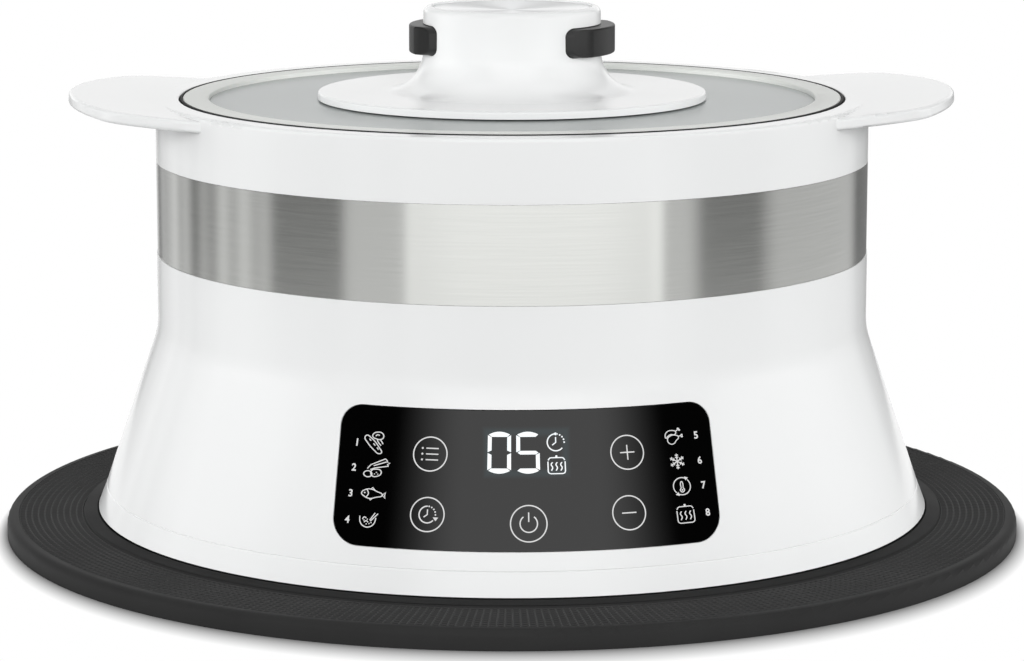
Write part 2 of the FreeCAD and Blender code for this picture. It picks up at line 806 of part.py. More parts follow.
def ear_plan(label, inset="0", top="rim_z", thickness="ear_thickness"):
    """Plan of the right ear: an end arc and two side arcs, moved in by an inset, as a flat plate."""
    bottom = f"{top} - {thickness}"
    end = rod(f"{label}_end", f"ear_end_radius - {inset}", thickness, x="ear_reach - ear_end_radius", z=bottom)
    sides = [rod(f"{label}_side", f"ear_side_radius - {inset}", thickness, x="ear_side_x",
                 y=f"{side} * (ear_side_radius - ear_half_depth)", z=bottom) for side in (-1, 1)]
    plan = combine("MultiCommon", f"{label}_plan", [end] + sides)
    return fillet_part(f"{label}_corners", plan, f"ear_corner - {inset}", line_along(Vector(0, 0, 1), thickness),
                       lambda edge: edge.CenterOfMass.x > size("band_radius"))


def fillet_part(label, base, radius, *tests):
    """Part fillet on the edges that pass every test."""
    result = doc.addObject("Part::Fillet", label)
    result.Base = base
    chosen = [number for number, edge in enumerate(base.Shape.Edges, start=1)
              if all(is_chosen(edge) for is_chosen in tests)]
    result.Edges = [(number, size(radius), size(radius)) for number in chosen]
    doc.recompute()
    return result


def ear():
    """Right ear: a plate that rises outwards, hollow underneath but for its rim and three ribs."""
    blank = ear_plan("ear")
    rounded = fillet_part("ear_rounded", blank, "ear_edge_round",
                          lambda edge: not line_along(Vector(0, 0, 1))(edge)
                          and near(edge.tangentAt(edge.FirstParameter).z, 0)
                          and not near(edge.CenterOfMass.z, size("rim_z - ear_thickness / 2"))
                          and edge.BoundBox.XMax > size("ear_side_x"))
    hollow = ear_plan("ear_hollow", "ear_rib", "rim_z - ear_web", "ear_thickness")
    keep = [rod("ear_hollow_root", "band_radius + ear_rib", "rim_z", z="0")]
    for side in (-1, 0, 1):
        middle = f"{side} * ear_half_depth / 2"
        keep.append(box("ear_rib", ("0", "ear_reach"), (f"{middle} - ear_web / 2", f"{middle} + ear_web / 2"),
                        ("rim_z - 4 * ear_thickness", "rim_z")))
    pockets = cut("ear_pockets", hollow, combine("MultiFuse", "ear_ribs", keep))
    # the plate is turned about its root, where it meets the top of the rim
    turn = "ear_rise_angle * 1deg"
    plate = put(cut("ear_plate", rounded, pockets), x=f"ear_root * (1 - cos({turn})) + rim_z * sin({turn})",
                z=f"rim_z * (1 - cos({turn})) - ear_root * sin({turn})", axis=Vector(0, -1, 0), angle="ear_rise_angle")
    inside = rod("ear_inside", "ear_root", "rim_z + ear_thickness")
    return cut("ear_right", plate, inside)


# ---------------------------------------------------------------- chamber under the boiler
def chamber_dome():
    """Roof of the steam chamber: a shallow pan with a drip lip, and pegs for what stands on it."""
    body = new_body("chamber_dome")
    lip_inner = "(dome_lip_radius - dome_lip)"
    revolve(body, [
        ("dome_flange_radius", "dome_flange_z"),
        ("dome_flange_radius", "flange_bottom_z"),
        ("dome_shoulder_radius", "flange_bottom_z"),
        ("dome_top_radius", "dome_top_z"),
        ("nozzle_seal_radius", "dome_top_z"),
        ("nozzle_seal_radius", "dome_top_z - wall"),
        ("dome_top_radius - wall / 2", "dome_top_z - wall"),
        (lip_inner, "flange_bottom_z - wall / 4"),
        (lip_inner, "seal_floor_z + rest_gap"),
        ("dome_lip_radius", "seal_floor_z + rest_gap"),
        ("dome_lip_radius", "dome_flange_z"),
    ])
    screw_holes(body, "base_screw_count", "base_screw_circle", "dome_flange_z", "wall")
    boiler_pegs = sketch_on(body, "XY", "dome_top_z - wall / 2")
    draw_ring_of_circles(boiler_pegs, "boiler_radius - boiler_wall / 2", "boiler_peg_count", "boiler_peg_radius", "45")
    extrude(body, boiler_pegs, "boiler_bottom_z - dome_top_z + wall / 2")
    board_pegs = sketch_on(body, "XY", "dome_top_z - wall / 2")
    for side in (-1, 1):
        for depth in ("power_board_y + peg_inset", "power_board_y + power_board_depth - peg_inset"):
            draw_circle(board_pegs, f"{side} * (power_board_width / 2 - peg_inset)", depth, "screw_head_radius")
    extrude(body, board_pegs, "power_board_z - dome_top_z + wall / 2")
    return body


def steam_diffuser():
    """Round plate that hangs on the nozzle and turns the steam outwards through four windows."""
    body = new_body("steam_diffuser")
    plate_top = "(diffuser_z + wall)"
    sleeve_radius = "(nozzle_radius + tank_wall)"
    revolve(body, [
        ("0", "diffuser_z"),
        ("diffuser_radius", "diffuser_z"),
        ("diffuser_radius", "diffuser_z + wall / 2"),
        (sleeve_radius, plate_top),
        (sleeve_radius, "nozzle_bottom_z + wall"),
        ("nozzle_radius", "nozzle_bottom_z + wall"),
        ("nozzle_radius", plate_top),
        ("0", plate_top),
    ])
    for plane in ("XZ", "YZ"):
        window = sketch_on(body, plane, "-diffuser_radius")
        draw_box(window, "-diffuser_window / 2", "diffuser_window / 2", plate_top, "nozzle_bottom_z")
        extrude(body, window, "2 * diffuser_radius", cuts=True, backwards=True)
    return body


def nozzle_seal():
    """Silicone grommet between the nozzle and the dome."""
    body = new_body("nozzle_seal")
    flange = "(nozzle_seal_radius + nozzle_seal_flange)"
    revolve(body, [
        ("nozzle_radius", "dome_top_z - wall - nozzle_seal_lip"),
        (flange, "dome_top_z - wall - nozzle_seal_lip"),
        (flange, "dome_top_z - wall"),
        ("nozzle_seal_radius", "dome_top_z - wall"),
        ("nozzle_seal_radius", "dome_top_z"),
        (flange, "dome_top_z"),
        (flange, "dome_top_z + nozzle_seal_lip"),
        ("nozzle_radius", "dome_top_z + nozzle_seal_lip"),
    ])
    return body


# ---------------------------------------------------------------- boiler
def boiler():
    """Cast pot with a channel for the heating element, a standpipe down to the nozzle and an inlet."""
    body = new_body("boiler")
    cavity = "(boiler_radius - boiler_wall)"
    floor = "(boiler_bottom_z + boiler_base)"
    channel_inner = "(element_circle - element_radius - rest_gap)"
    channel_outer = "(element_circle + element_radius + rest_gap)"
    channel_top = "(boiler_bottom_z + element_channel)"
    revolve(body, [
        ("nozzle_bore", "nozzle_bottom_z"),
        ("nozzle_radius", "nozzle_bottom_z"),
        ("nozzle_radius", "boiler_bottom_z"),
        (channel_inner, "boiler_bottom_z"),
        (channel_inner, channel_top),
        (channel_outer, channel_top),
        (channel_outer, "boiler_bottom_z"),
        ("boiler_radius", "boiler_bottom_z"),
        ("boiler_radius", "boiler_top_z"),
        (cavity, "boiler_top_z"),
        (cavity, floor),
        ("nozzle_radius", floor),
        ("nozzle_radius", "standpipe_z"),
        ("nozzle_bore", "standpipe_z"),
    ])
    stub = sketch_on(body, "YZ", "-stub_end")
    draw_circle(stub, "0", "stub_z", "stub_radius")
    extrude(body, stub, f"stub_end - {cavity}")
    bore = sketch_on(body, "YZ", "-stub_end")
    draw_circle(bore, "0", "stub_z", "stub_radius - stub_wall")
    extrude(body, bore, f"stub_end - {cavity}", cuts=True, backwards=True)
    return body


def boiler_seal():
    body = new_body("boiler_seal")
    middle = "(boiler_radius - boiler_wall / 2)"
    revolve(body, [
        (f"{middle} - boiler_seal_width / 2", "boiler_top_z"),
        (f"{middle} + boiler_seal_width / 2", "boiler_top_z"),
        (f"{middle} + boiler_seal_width / 2", "boiler_top_z + boiler_seal"),
        (f"{middle} - boiler_seal_width / 2", "boiler_top_z + boiler_seal"),
    ])
    return body


def boiler_cover():
    """Pressed cover with its rim rolled down round the pot."""
    body = new_body("boiler_cover")
    inner, outer = "(boiler_radius + close_fit)", "(boiler_radius + close_fit + cover_rim)"
    revolve(body, [
        ("0", "boiler_top_z + boiler_seal"),
        (inner, "boiler_top_z + boiler_seal"),
        (inner, "boiler_top_z - cover_skirt"),
        (outer, "boiler_top_z - cover_skirt"),
        (outer, "cover_top_z"),
        ("0", "cover_top_z"),
    ])
    notch = sketch_on(body, "YZ", "-stub_end")
    draw_box(notch, "-stub_radius - hose_wall - rest_gap", "stub_radius + hose_wall + rest_gap",
             "boiler_top_z - 2 * cover_skirt", "stub_z + stub_radius + hose_wall + rest_gap")
    extrude(body, notch, "boiler_wall * 2", cuts=True, backwards=True)
    soften(body, "cover_rim", circle_at(outer, "cover_top_z"))
    return body


def heating_element():
    """Tubular ring in the boiler's channel, with two pins that point down."""
    body = new_body("heating_element")
    section = sketch_on(body, "YZ")
    draw_circle(section, "-element_circle", "boiler_bottom_z + rest_gap", "element_radius")
    revolve_sketch(body, section, "element_angle")
    pins = sketch_on(body, "XY", "boiler_bottom_z + rest_gap")
    for side in (-1, 1):
        turn = "(element_angle / 2 - element_pin_angle) * 1deg"
        draw_circle(pins, f"{side} * element_circle * sin({turn})", f"-element_circle * cos({turn})",
                    "element_pin_radius")
    extrude(body, pins, "element_pin + rest_gap", backwards=True)
    return body


def thermostat():
    """Snap-disc thermostat on the boiler's cover: a flange, a can and two flat terminals."""
    flange = rod("thermostat_flange", "thermostat_radius + wall", "thermostat_flange", x="thermostat_x", z="cover_top_z")
    can = rod("thermostat_can", "thermostat_radius", "thermostat_height", x="thermostat_x", z="cover_top_z")
    blades = [box("thermostat_blade", ("thermostat_x - blade_width / 2", "thermostat_x + blade_width / 2"),
                  (f"{side} * thermostat_radius / 2 - blade / 2", f"{side} * thermostat_radius / 2 + blade / 2"),
                  ("cover_top_z + thermostat_height / 2", "cover_top_z + thermostat_height + thermostat_flange"))
              for side in (-1, 1)]
    return combine("MultiFuse", "thermostat", [flange, can] + blades)


def thermal_fuse():
    """Fuse capsule lying in a saddle on the boiler's cover."""
    centre_z = "cover_top_z + fuse_radius + rest_gap"
    capsule = rod("fuse_capsule", "fuse_radius", "fuse_length", x="fuse_x", y="fuse_length / 2", z=centre_z,
                  axis=Vector(1, 0, 0), angle="90")
    saddle = box("fuse_saddle", ("fuse_x - fuse_radius - fuse_saddle", "fuse_x + fuse_radius + fuse_saddle"),
                 ("-wall", "wall"), ("cover_top_z", centre_z))
    return combine("MultiFuse", "thermal_fuse", [capsule, saddle])


def water_valve():
    """Solenoid valve under the tank: its spigot fills the tank's outlet, its stub feeds the boiler."""
    x_middle = "-outlet_x"
    block = box("valve_block", (f"{x_middle} - valve_width / 2", f"{x_middle} + valve_width / 2"),
                ("-valve_depth / 2", "valve_depth / 2"), ("valve_bottom_z", "valve_top_z"))
    spigot = rod("valve_spigot", "outlet_radius - close_fit", "tank_floor_z + tank_wall - valve_top_z",
                 x=x_middle, z="valve_top_z")
    collar = rod("valve_collar", "outlet_radius + wall", "tank_floor_z - valve_top_z",
                 x=x_middle, z="valve_top_z")
    stub = rod("valve_stub", "stub_radius", "stub_radius * 2.5", x=f"{x_middle} + valve_width / 2",
               z="stub_z", axis=Vector(0, 1, 0), angle="90")
    coil = rod("valve_coil", "coil_radius", "coil_length", x=x_middle, y="-valve_depth / 2",
               z="(valve_bottom_z + valve_top_z) / 2", axis=Vector(1, 0, 0), angle="90")
    return combine("MultiFuse", "water_valve", [block, spigot, collar, stub, coil])


def feed_hose():
    """Short silicone hose pushed over the valve's stub and the boiler's."""
    start, end = "-outlet_x + valve_width / 2 + hose_gap", "-boiler_radius - cover_rim - close_fit - hose_gap"
    outside = rod("hose_outside", "stub_radius + hose_wall", f"{end} - ({start})", x=start, z="stub_z",
                  axis=Vector(0, 1, 0), angle="90")
    inside = rod("hose_inside", "stub_radius", f"{end} - ({start})", x=start, z="stub_z",
                 axis=Vector(0, 1, 0), angle="90")
    return cut("feed_hose", outside, inside)


# ---------------------------------------------------------------- electrics
def place_behind_panel(item, x="0", y="0", z="0"):
    """Put an object at a place given in the tilted frame of the touch board.

    In that frame X runs across, Z up the cone and -Y out towards the panel.
    """
    tilt = "atan(taper)"
    board_y = f"-({cone('touch_board_z')} - touch_board_depth)"
    return put(item, x=x, y=f"{board_y} + ({y}) * cos({tilt}) + ({z}) * sin({tilt})",
               z=f"touch_board_z - ({y}) * sin({tilt}) + ({z}) * cos({tilt})",
               axis=Vector(-1, 0, 0), angle=f"{tilt} / 1deg")


def touch_board():
    """Printed board parallel to the panel."""
    board = doc.addObject("Part::Box", "touch_board")
    for name, text in (("Length", "touch_board_width"), ("Width", "board"), ("Height", "touch_board_height")):
        board.setExpression(name, bound(text))
    return place_behind_panel(board, "-touch_board_width / 2", "0", "-touch_board_height / 2")


def display_module():
    """Two-digit display in front of the touch board, behind the cowl's window."""
    block = doc.addObject("Part::Box", "display_module")
    for name, text in (("Length", "display_width"), ("Width", "display_depth"), ("Height", "display_height")):
        block.setExpression(name, bound(text))
    return place_behind_panel(block, "-display_width / 2", "-display_depth", "display_raise - display_height / 2")


def touch_pads():
    """Five foam pads that carry the touch of the keys back to the touch board."""
    pads = []
    for x, z in key_places():
        pad = key_rod("touch_pad", "touch_pad_radius", x, z)
        back = cone_between("panel_back", "-(panel_thickness - panel_proud + rest_gap)")
        pads.append(combine("MultiCommon", "touch_pad_fitted", [pad, back]))
    return group("touch_pads", pads)


def key_rod(label, radius, x, z):
    """Rod from the touch board out through a key's place on the cone, square to the board."""
    tilt = "atan(taper)"
    depth = f"({cone('touch_board_z')} - touch_board_depth - sqrt(({cone(z)}) ^ 2 - ({x}) ^ 2))"
    pin = rod(label, radius, "2 * touch_board_depth")
    place_behind_panel(pin, x, "0", f"{depth} * sin({tilt}) + ({z} - touch_board_z) * cos({tilt})")
    pin.Placement = Placement(pin.Placement.Base, Rotation(Vector(1, 0, 0), 1))
    pin.setExpression("Placement.Rotation.Angle", bound(f"90 * 1deg - {tilt}"))
    return pin


def power_board():
    body = new_body("power_board")
    outline = sketch_on(body, "XY", "power_board_z")
    draw_box(outline, "-power_board_width / 2", "power_board_width / 2",
             "power_board_y", "power_board_y + power_board_depth")
    extrude(body, outline, "board")
    holes = sketch_on(body, "XY", "power_board_z")
    for side in (-1, 1):
        for depth in ("power_board_y + peg_inset", "power_board_y + power_board_depth - peg_inset"):
            draw_circle(holes, f"{side} * (power_board_width / 2 - peg_inset)", depth, "screw_radius + close_fit")
    extrude(body, holes, "board", cuts=True, backwards=True)
    return body


def transformer():
    """Laminated core with its winding across the middle."""
    bottom, front = "(power_board_z + board)", "(power_board_y + board_margin)"
    left = "(-power_board_width / 2 + transformer_inset)"
    core = box("transformer_core", (left, f"{left} + transformer_width"),
               (f"{front} + transformer_depth / 4", f"{front} + transformer_depth * 3 / 4"),
               (bottom, f"{bottom} + transformer_height"))
    winding = box("transformer_winding", (f"{left} + transformer_width / 5", f"{left} + transformer_width * 4 / 5"),
                  (front, f"{front} + transformer_depth"),
                  (f"{bottom} + transformer_height / 5", f"{bottom} + transformer_height * 4 / 5"))
    return combine("MultiFuse", "transformer", [core, winding])


def relay():
    bottom, left, front = "(power_board_z + board)", "0", "(power_board_y + board_margin)"
    return box("relay", (left, "relay_width"), (front, f"{front} + relay_depth"),
               (bottom, f"{bottom} + relay_height"))


def capacitors():
    bottom = "(power_board_z + board)"
    places = ("power_board_y + capacitor_inset", "power_board_y + power_board_depth - capacitor_inset")
    cans = [rod("capacitor", "capacitor_radius", "capacitor_height", x="power_board_width / 3", y=y, z=bottom)
            for y in places]
    return group("capacitors", cans)


def terminal_block():
    """Three-way block for the mains leads, on the dome's plate."""
    body = new_body("terminal_block")
    outline = sketch_on(body, "XY", "dome_top_z")
    draw_box(outline, "-terminal_width / 2", "terminal_width / 2", "terminal_y", "terminal_y + terminal_depth")
    extrude(body, outline, "terminal_height")
    holes = sketch_on(body, "XZ", "-terminal_y")
    for side in (-1, 0, 1):
        draw_circle(holes, f"{side} * terminal_width / 3", "dome_top_z + terminal_height / 2",
                    "terminal_hole_radius")
    extrude(body, holes, "terminal_depth", cuts=True)
    return body


def mains_gland():
    """Block with a bore for the mains lead, in the notch at the back of the cowl."""
    body = new_body("mains_gland")
    middle_z = "(seam_z + panel_gap + gland_height / 2)"
    block = sketch_on(body, "XZ", "-gland_inner_y")
    draw_box(block, "-gland_width / 2", "gland_width / 2",
             f"{middle_z} - gland_height / 2", f"{middle_z} + gland_height / 2")
    extrude(body, block, "gland_outer_y - gland_inner_y", backwards=True)
    soften(body, "gland_corner", lambda edge: line_along(Vector(0, 1, 0))(edge)
           and edge.CenterOfMass.z > size(middle_z))
    flange = sketch_on(body, "XZ", "-gland_inner_y")
    draw_box(flange, "-gland_width / 2 - gland_lip", "gland_width / 2 + gland_lip",
             f"{middle_z} - gland_height / 2", f"{middle_z} + gland_height / 2 + gland_lip")
    extrude(body, flange, "gland_flange", backwards=True)
    bore = sketch_on(body, "XZ", "-gland_inner_y")
    draw_circle(bore, "0", middle_z, "gland_bore")
    extrude(body, bore, "gland_outer_y - gland_inner_y", cuts=True)
    return body


# ---------------------------------------------------------------- water tank
def water_tank():
    """Round tank with a hollow column in the middle, whose top is a cup for the latches."""
    body = new_body("water_tank")
    floor_top = "(tank_floor_z + tank_wall)"
    inner = "(tank_radius - tank_wall)"
    cup = "(column_radius - tank_wall)"
    revolve(body, [
        ("tank_radius", "tank_floor_z"),
        ("tank_radius", "band_top_z"),
        ("tank_flange_radius", "band_top_z"),
        ("tank_flange_radius", "tank_flange_z"),
        ("tank_radius", "tank_flange_z"),
        ("tank_radius", "tank_rim_z"),
        (inner, "tank_rim_z"),
        (inner, floor_top),
        ("column_radius", floor_top),
        ("column_radius", "column_z"),
        (cup, "column_z"),
        (cup, "column_cup_z"),
        ("0", "column_cup_z"),
        ("0", "column_cup_z - tank_wall"),
        (cup, "column_cup_z - tank_wall"),
        (cup, "tank_floor_z"),
    ])
    outlet = sketch_on(body, "XY", "tank_floor_z")
    draw_circle(outlet, "-outlet_x", "0", "outlet_radius")
    extrude(body, outlet, "tank_wall", cuts=True, backwards=True)
    soften(body, "tank_wall", circle_at("tank_radius", "tank_floor_z"))
    return body


def latch_collar():
    """Ring on the column: the latch hooks spread under its lip."""
    body = new_body("latch_collar")
    spigot = "(column_radius - tank_wall - close_fit)"
    revolve(body, [
        ("collar_bore", "column_z + push_clearance"),
        ("collar_bore", "collar_z - collar_lead"),
        ("collar_bore + collar_lead", "collar_z"),
        ("column_radius", "collar_z"),
        ("column_radius", "column_z"),
        (spigot, "column_z"),
        (spigot, "column_z - collar_spigot"),
        ("collar_bore + collar_undercut", "column_z - collar_spigot"),
        ("collar_bore + collar_undercut", "column_z + push_clearance"),
    ])
    return body


# ---------------------------------------------------------------- lid
def lid_ring():
    """Grey ring that carries the pane on a ledge and the gasket in a groove."""
    body = new_body("lid_ring")
    groove = "(gasket_radius - gasket_depth)"
    groove_top = "(lid_z - lid_edge)"
    revolve(body, [
        ("lid_radius", groove_top),
        ("lid_radius", "lid_z"),
        ("lid_opening_radius", "lid_z"),
        ("lid_opening_radius", "pane_bottom_z"),
        ("lid_opening_radius - lid_ledge", "pane_bottom_z"),
        ("lid_opening_radius - lid_ledge", "lid_bottom_z"),
        (groove, "lid_bottom_z"),
        (groove, groove_top),
    ])
    soften(body, "lid_round", lambda edge: circle_at("lid_radius", "lid_z")(edge)
           or circle_at("lid_opening_radius", "lid_z")(edge))
    return body


def lid_gasket():
    """Black ring that closes the gap round the lid, with two sealing lips."""
    body = new_body("lid_gasket")
    groove = "(gasket_radius - gasket_depth)"
    top = "(lid_z - lid_edge)"
    bottom = f"({top} - gasket_height)"
    revolve(body, [
        (groove, bottom),
        ("gasket_radius", bottom),
        ("gasket_radius - gasket_depth / 2", f"{top} - gasket_height * 2 / 3"),
        ("gasket_radius - gasket_depth / 2", f"{top} - gasket_height / 3"),
        ("gasket_radius", f"{top} - gasket_height / 4"),
        ("gasket_radius", top),
        (groove, top),
    ])
    return body


def lid_window():
    """Frosted pane with a hole for the hub's fixing."""
    body = new_body("lid_window")
    revolve(body, [
        ("pane_hole_radius", "pane_bottom_z"),
        ("lid_opening_radius - window_fit", "pane_bottom_z"),
        ("lid_opening_radius - window_fit", "pane_z"),
        ("pane_hole_radius", "pane_z"),
    ])
    return body


def disc_gasket():
    body = new_body("disc_gasket")
    revolve(body, [
        ("pane_hole_radius + screw_land", "pane_z"),
        ("clamp_radius", "pane_z"),
        ("clamp_radius", "disc_bottom_z"),
        ("pane_hole_radius + screw_land", "disc_bottom_z"),
    ])
    return body


def slot_bar(label, clearance):
    """Bar with the shape of the latch slot, less a clearance, right through the hub along X."""
    body = new_body(label)
    section = sketch_on(body, "YZ", "-button_reach - wall")
    half_width = f"(slot_width / 2 - {clearance})"
    draw_box(section, f"-{half_width}", half_width, f"slot_bottom_z + {clearance}", f"slot_top_z - {clearance}")
    extrude(body, section, "2 * (button_reach + wall)")
    soften(body, f"slot_corner - {clearance}", line_along(Vector(1, 0, 0)))
    return body


def knob_shell():
    """White moulding: the disc over the pane and the round hub, with a slot on each side."""
    body = new_body("knob_moulding")
    cap_seat = "(cap_radius + cap_gap)"
    cap_floor = "(cap_z - cap_thickness)"
    revolve(body, [
        ("disc_radius", "disc_bottom_z"),
        ("disc_radius", "disc_z"),
        ("hub_radius", "disc_z"),
        ("hub_radius - hub_taper", "hub_z"),
        (cap_seat, "hub_z"),
        (cap_seat, cap_floor),
        ("0", cap_floor),
        ("0", f"{cap_floor} - wall"),
        ("hub_bore", f"{cap_floor} - wall"),
        ("hub_bore", "disc_bottom_z"),
    ])
    soften(body, "hub_blend", circle_at("hub_radius", "disc_z"))
    soften(body, "disc_round", circle_at("disc_radius", "disc_z"))
    soften(body, "hub_round", circle_at("hub_radius - hub_taper", "hub_z"))
    bosses = sketch_on(body, "XY", "pane_bottom_z")
    draw_ring_of_circles(bosses, "lid_screw_circle", "lid_screw_count", "lid_boss_radius", "45")
    extrude(body, bosses, "disc_bottom_z - pane_bottom_z + wall / 2")
    screw_holes(body, "lid_screw_count", "lid_screw_circle", "pane_bottom_z", "lid_screw_length", "45",
                radius="screw_radius + close_fit / 2")
    bar = slot_bar("latch_slots", "0")
    put(bar, angle="-latch_angle")
    return cut("knob_shell", body, bar)


def knob_cap():
    """Dished insert in the top of the hub."""
    body = new_body("knob_cap")
    sketch = sketch_on(body, "XZ")
    bottom, edge_z, middle_z = "cap_z - cap_thickness", "cap_z", "cap_z - cap_dish"
    radius, low, high, middle = (size(text) for text in ("cap_radius", bottom, edge_z, middle_z))
    corners = [Vector(0, low, 0), Vector(radius, low, 0), Vector(radius, high, 0), Vector(0, middle, 0)]
    base = sketch.addGeometry(Part.LineSegment(corners[0], corners[1]))
    side = sketch.addGeometry(Part.LineSegment(corners[1], corners[2]))
    dish_radius = (radius ** 2 + size("cap_dish") ** 2) / (2 * size("cap_dish"))
    centre = Vector(0, middle + dish_radius, 0)
    through = Vector(radius / 2, centre.y - (dish_radius ** 2 - radius ** 2 / 4) ** 0.5, 0)
    dish = sketch.addGeometry(Part.Arc(corners[3], through, corners[2]))
    axis = sketch.addGeometry(Part.LineSegment(corners[3], corners[0]))
    for first, second in (((base, 2), (side, 1)), ((side, 2), (dish, 2)), ((dish, 1), (axis, 1)),
                          ((axis, 2), (base, 1))):
        sketch.addConstraint(Sketcher.Constraint("Coincident", *first, *second))
    sketch.addConstraint(Sketcher.Constraint("PointOnObject", dish, 3, -2))
    hold(sketch, base, 1, "0", bottom)
    hold(sketch, base, 2, "cap_radius", bottom)
    hold(sketch, side, 2, "cap_radius", edge_z)
    hold(sketch, axis, 1, "0", middle_z)
    revolve_sketch(body, sketch)
    return body


def lid_clamp():
    """Plate under the pane, screwed up into the hub."""
    body = new_body("lid_clamp")
    revolve(body, [
        ("clamp_hole_radius", "clamp_bottom_z"),
        ("clamp_radius", "clamp_bottom_z"),
        ("clamp_radius", "pane_bottom_z"),
        ("clamp_hole_radius", "pane_bottom_z"),
    ])
    screw_holes(body, "lid_screw_count", "lid_screw_circle", "clamp_bottom_z", "clamp_thickness", "45")
    return body


def latch_carrier():
    """Cup inside the hub: the buttons slide on its top, each side of a post for their springs."""
    body = new_body("latch_carrier")
    plate_bottom = "(slot_bottom_z - wall)"
    revolve(body, [
        ("carrier_radius", "pane_bottom_z"),
        ("carrier_radius", "slot_bottom_z"),
        ("0", "slot_bottom_z"),
        ("0", plate_bottom),
        ("carrier_radius - carrier_wall", plate_bottom),
        ("carrier_radius - carrier_wall", "pane_bottom_z"),
    ])
    post = sketch_on(body, "XY", "slot_bottom_z - wall / 2")
    draw_box(post, "-spring_post / 2", "spring_post / 2", "-spring_post_width / 2", "spring_post_width / 2")
    extrude(body, post, "spring_post_height + wall / 2")
    slots = sketch_on(body, "XY", plate_bottom)
    near_x, far_x = "(stop_back_x - latch_travel - leg_gap)", "(stop_back_x + leg_thickness + leg_gap)"
    half_width = "(leg_width / 2 + leg_gap)"
    draw_box(slots, near_x, far_x, f"-{half_width}", half_width)
    draw_box(slots, f"-{far_x}", f"-{near_x}", f"-{half_width}", half_width)
    extrude(body, slots, "wall", cuts=True, backwards=True)
    put(body, angle="-latch_angle")
    return body


def latch_button(label, turn):
    """Black grip in its slot, with a stop plate behind the wall and a hooked leg into the collar."""
    plan = new_body(f"{label}_plan")
    outline = sketch_on(plan, "XY", "slot_bottom_z")
    half = "(slot_width / 2 - button_clearance)"
    face = "(button_face_width / 2)"
    draw_outline(outline, [
        ("stop_front_x - wall / 2", f"-{half}"),
        ("button_facet_x", f"-{half}"),
        ("button_reach", f"-{face}"),
        ("button_reach", face),
        ("button_facet_x", half),
        ("stop_front_x - wall / 2", half),
    ])
    extrude(plan, outline, "slot_top_z - slot_bottom_z")
    limit = rod(f"{label}_limit", "button_reach", "slot_top_z - slot_bottom_z", z="slot_bottom_z")
    grip = combine("MultiCommon", f"{label}_grip", [plan, limit, slot_bar(f"{label}_bar", "button_clearance")])
    grip = fillet_part(f"{label}_eased", grip, "button_edge_round",
                       lambda edge: edge.BoundBox.XMin > size("button_facet_x - 0.1")
                       and near(edge.BoundBox.ZMin, edge.BoundBox.ZMax))
    low_z, high_z = "slot_bottom_z + button_clearance", "slot_top_z - button_clearance"
    stop = box(f"{label}_stop", ("stop_back_x", "stop_front_x"), ("-stop_width / 2", "stop_width / 2"),
               (low_z, high_z))
    hook_top = "(column_z + push_clearance - hook_gap)"
    leg = box(f"{label}_leg", ("stop_back_x", "stop_back_x + leg_thickness"), ("-leg_width / 2", "leg_width / 2"),
              (f"{hook_top} - hook_height", f"{low_z} + wall"))
    hook = box(f"{label}_hook", ("stop_back_x", "hook_reach"), ("-leg_width / 2", "leg_width / 2"),
               (f"{hook_top} - hook_height", hook_top))
    reach = rod(f"{label}_reach", "hook_reach", "hub_z")
    hook = combine("MultiCommon", f"{label}_hook_end", [hook, reach])
    whole = combine("MultiFuse", label, [grip, stop, leg, hook])
    return put(whole, angle=turn)


def latch_spring(label, turn):
    """Bow spring between the carrier's post and a button's stop plate."""
    body = new_body(label)
    outer = "((stop_back_x - spring_post / 2) / 2)"
    bottom = "(slot_bottom_z + spring_rise)"
    revolve(body, [
        (f"-{outer}", bottom),
        (f"-({outer} - spring_strip)", bottom),
        (f"-({outer} - spring_strip)", f"{bottom} + spring_width"),
        (f"-{outer}", f"{bottom} + spring_width"),
    ], plane="YZ", angle="spring_angle")
    centre = f"(spring_post / 2 + {outer})"
    return put(body, x=f"{centre} * cos(({turn}) * 1deg)", y=f"{centre} * sin(({turn}) * 1deg)", angle=turn)


# ---------------------------------------------------------------- build and export
RIGHT_TURN = "-latch_angle"
LEFT_TURN = "180 - latch_angle"
pieces = [
    silicone_seal(),
    base_ring(),
    chamber_dome(),
    cowl(),
    control_panel(),
    steel_band(),
    handle_ring(),
    water_tank(),
    latch_collar(),
    steam_diffuser(),
    nozzle_seal(),
    boiler(),
    boiler_seal(),
    boiler_cover(),
    heating_element(),
    thermostat(),
    thermal_fuse(),
    water_valve(),
    feed_hose(),
    touch_board(),
    display_module(),
    touch_pads(),
    power_board(),
    transformer(),
    relay(),
    capacitors(),
    terminal_block(),
    mains_gland(),
    screws("base_screws", "base_screw_count", "base_screw_circle", "dome_flange_z", "base_screw_length"),
    lid_ring(),
    lid_gasket(),
    lid_window(),
    disc_gasket(),
    knob_shell(),
    knob_cap(),
    lid_clamp(),
    screws("lid_screws", "lid_screw_count", "lid_screw_circle", "clamp_bottom_z",
           "lid_screw_length + clamp_thickness", "45"),
    latch_carrier(),
    latch_button("latch_button_right", RIGHT_TURN),
    latch_button("latch_button_left", LEFT_TURN),
    latch_spring("latch_spring_right", RIGHT_TURN),
    latch_spring("latch_spring_left", LEFT_TURN),
]
doc.recompute()

for item in doc.Objects:
    if {"Invalid", "Error"} & set(item.State):
        raise RuntimeError(f"{item.Label} failed: {item.State}")
for piece in pieces:
    if piece.Shape.isNull() or not piece.Shape.isValid() or not piece.Shape.Solids:
        raise RuntimeError(f"{piece.Label} has no valid solid")

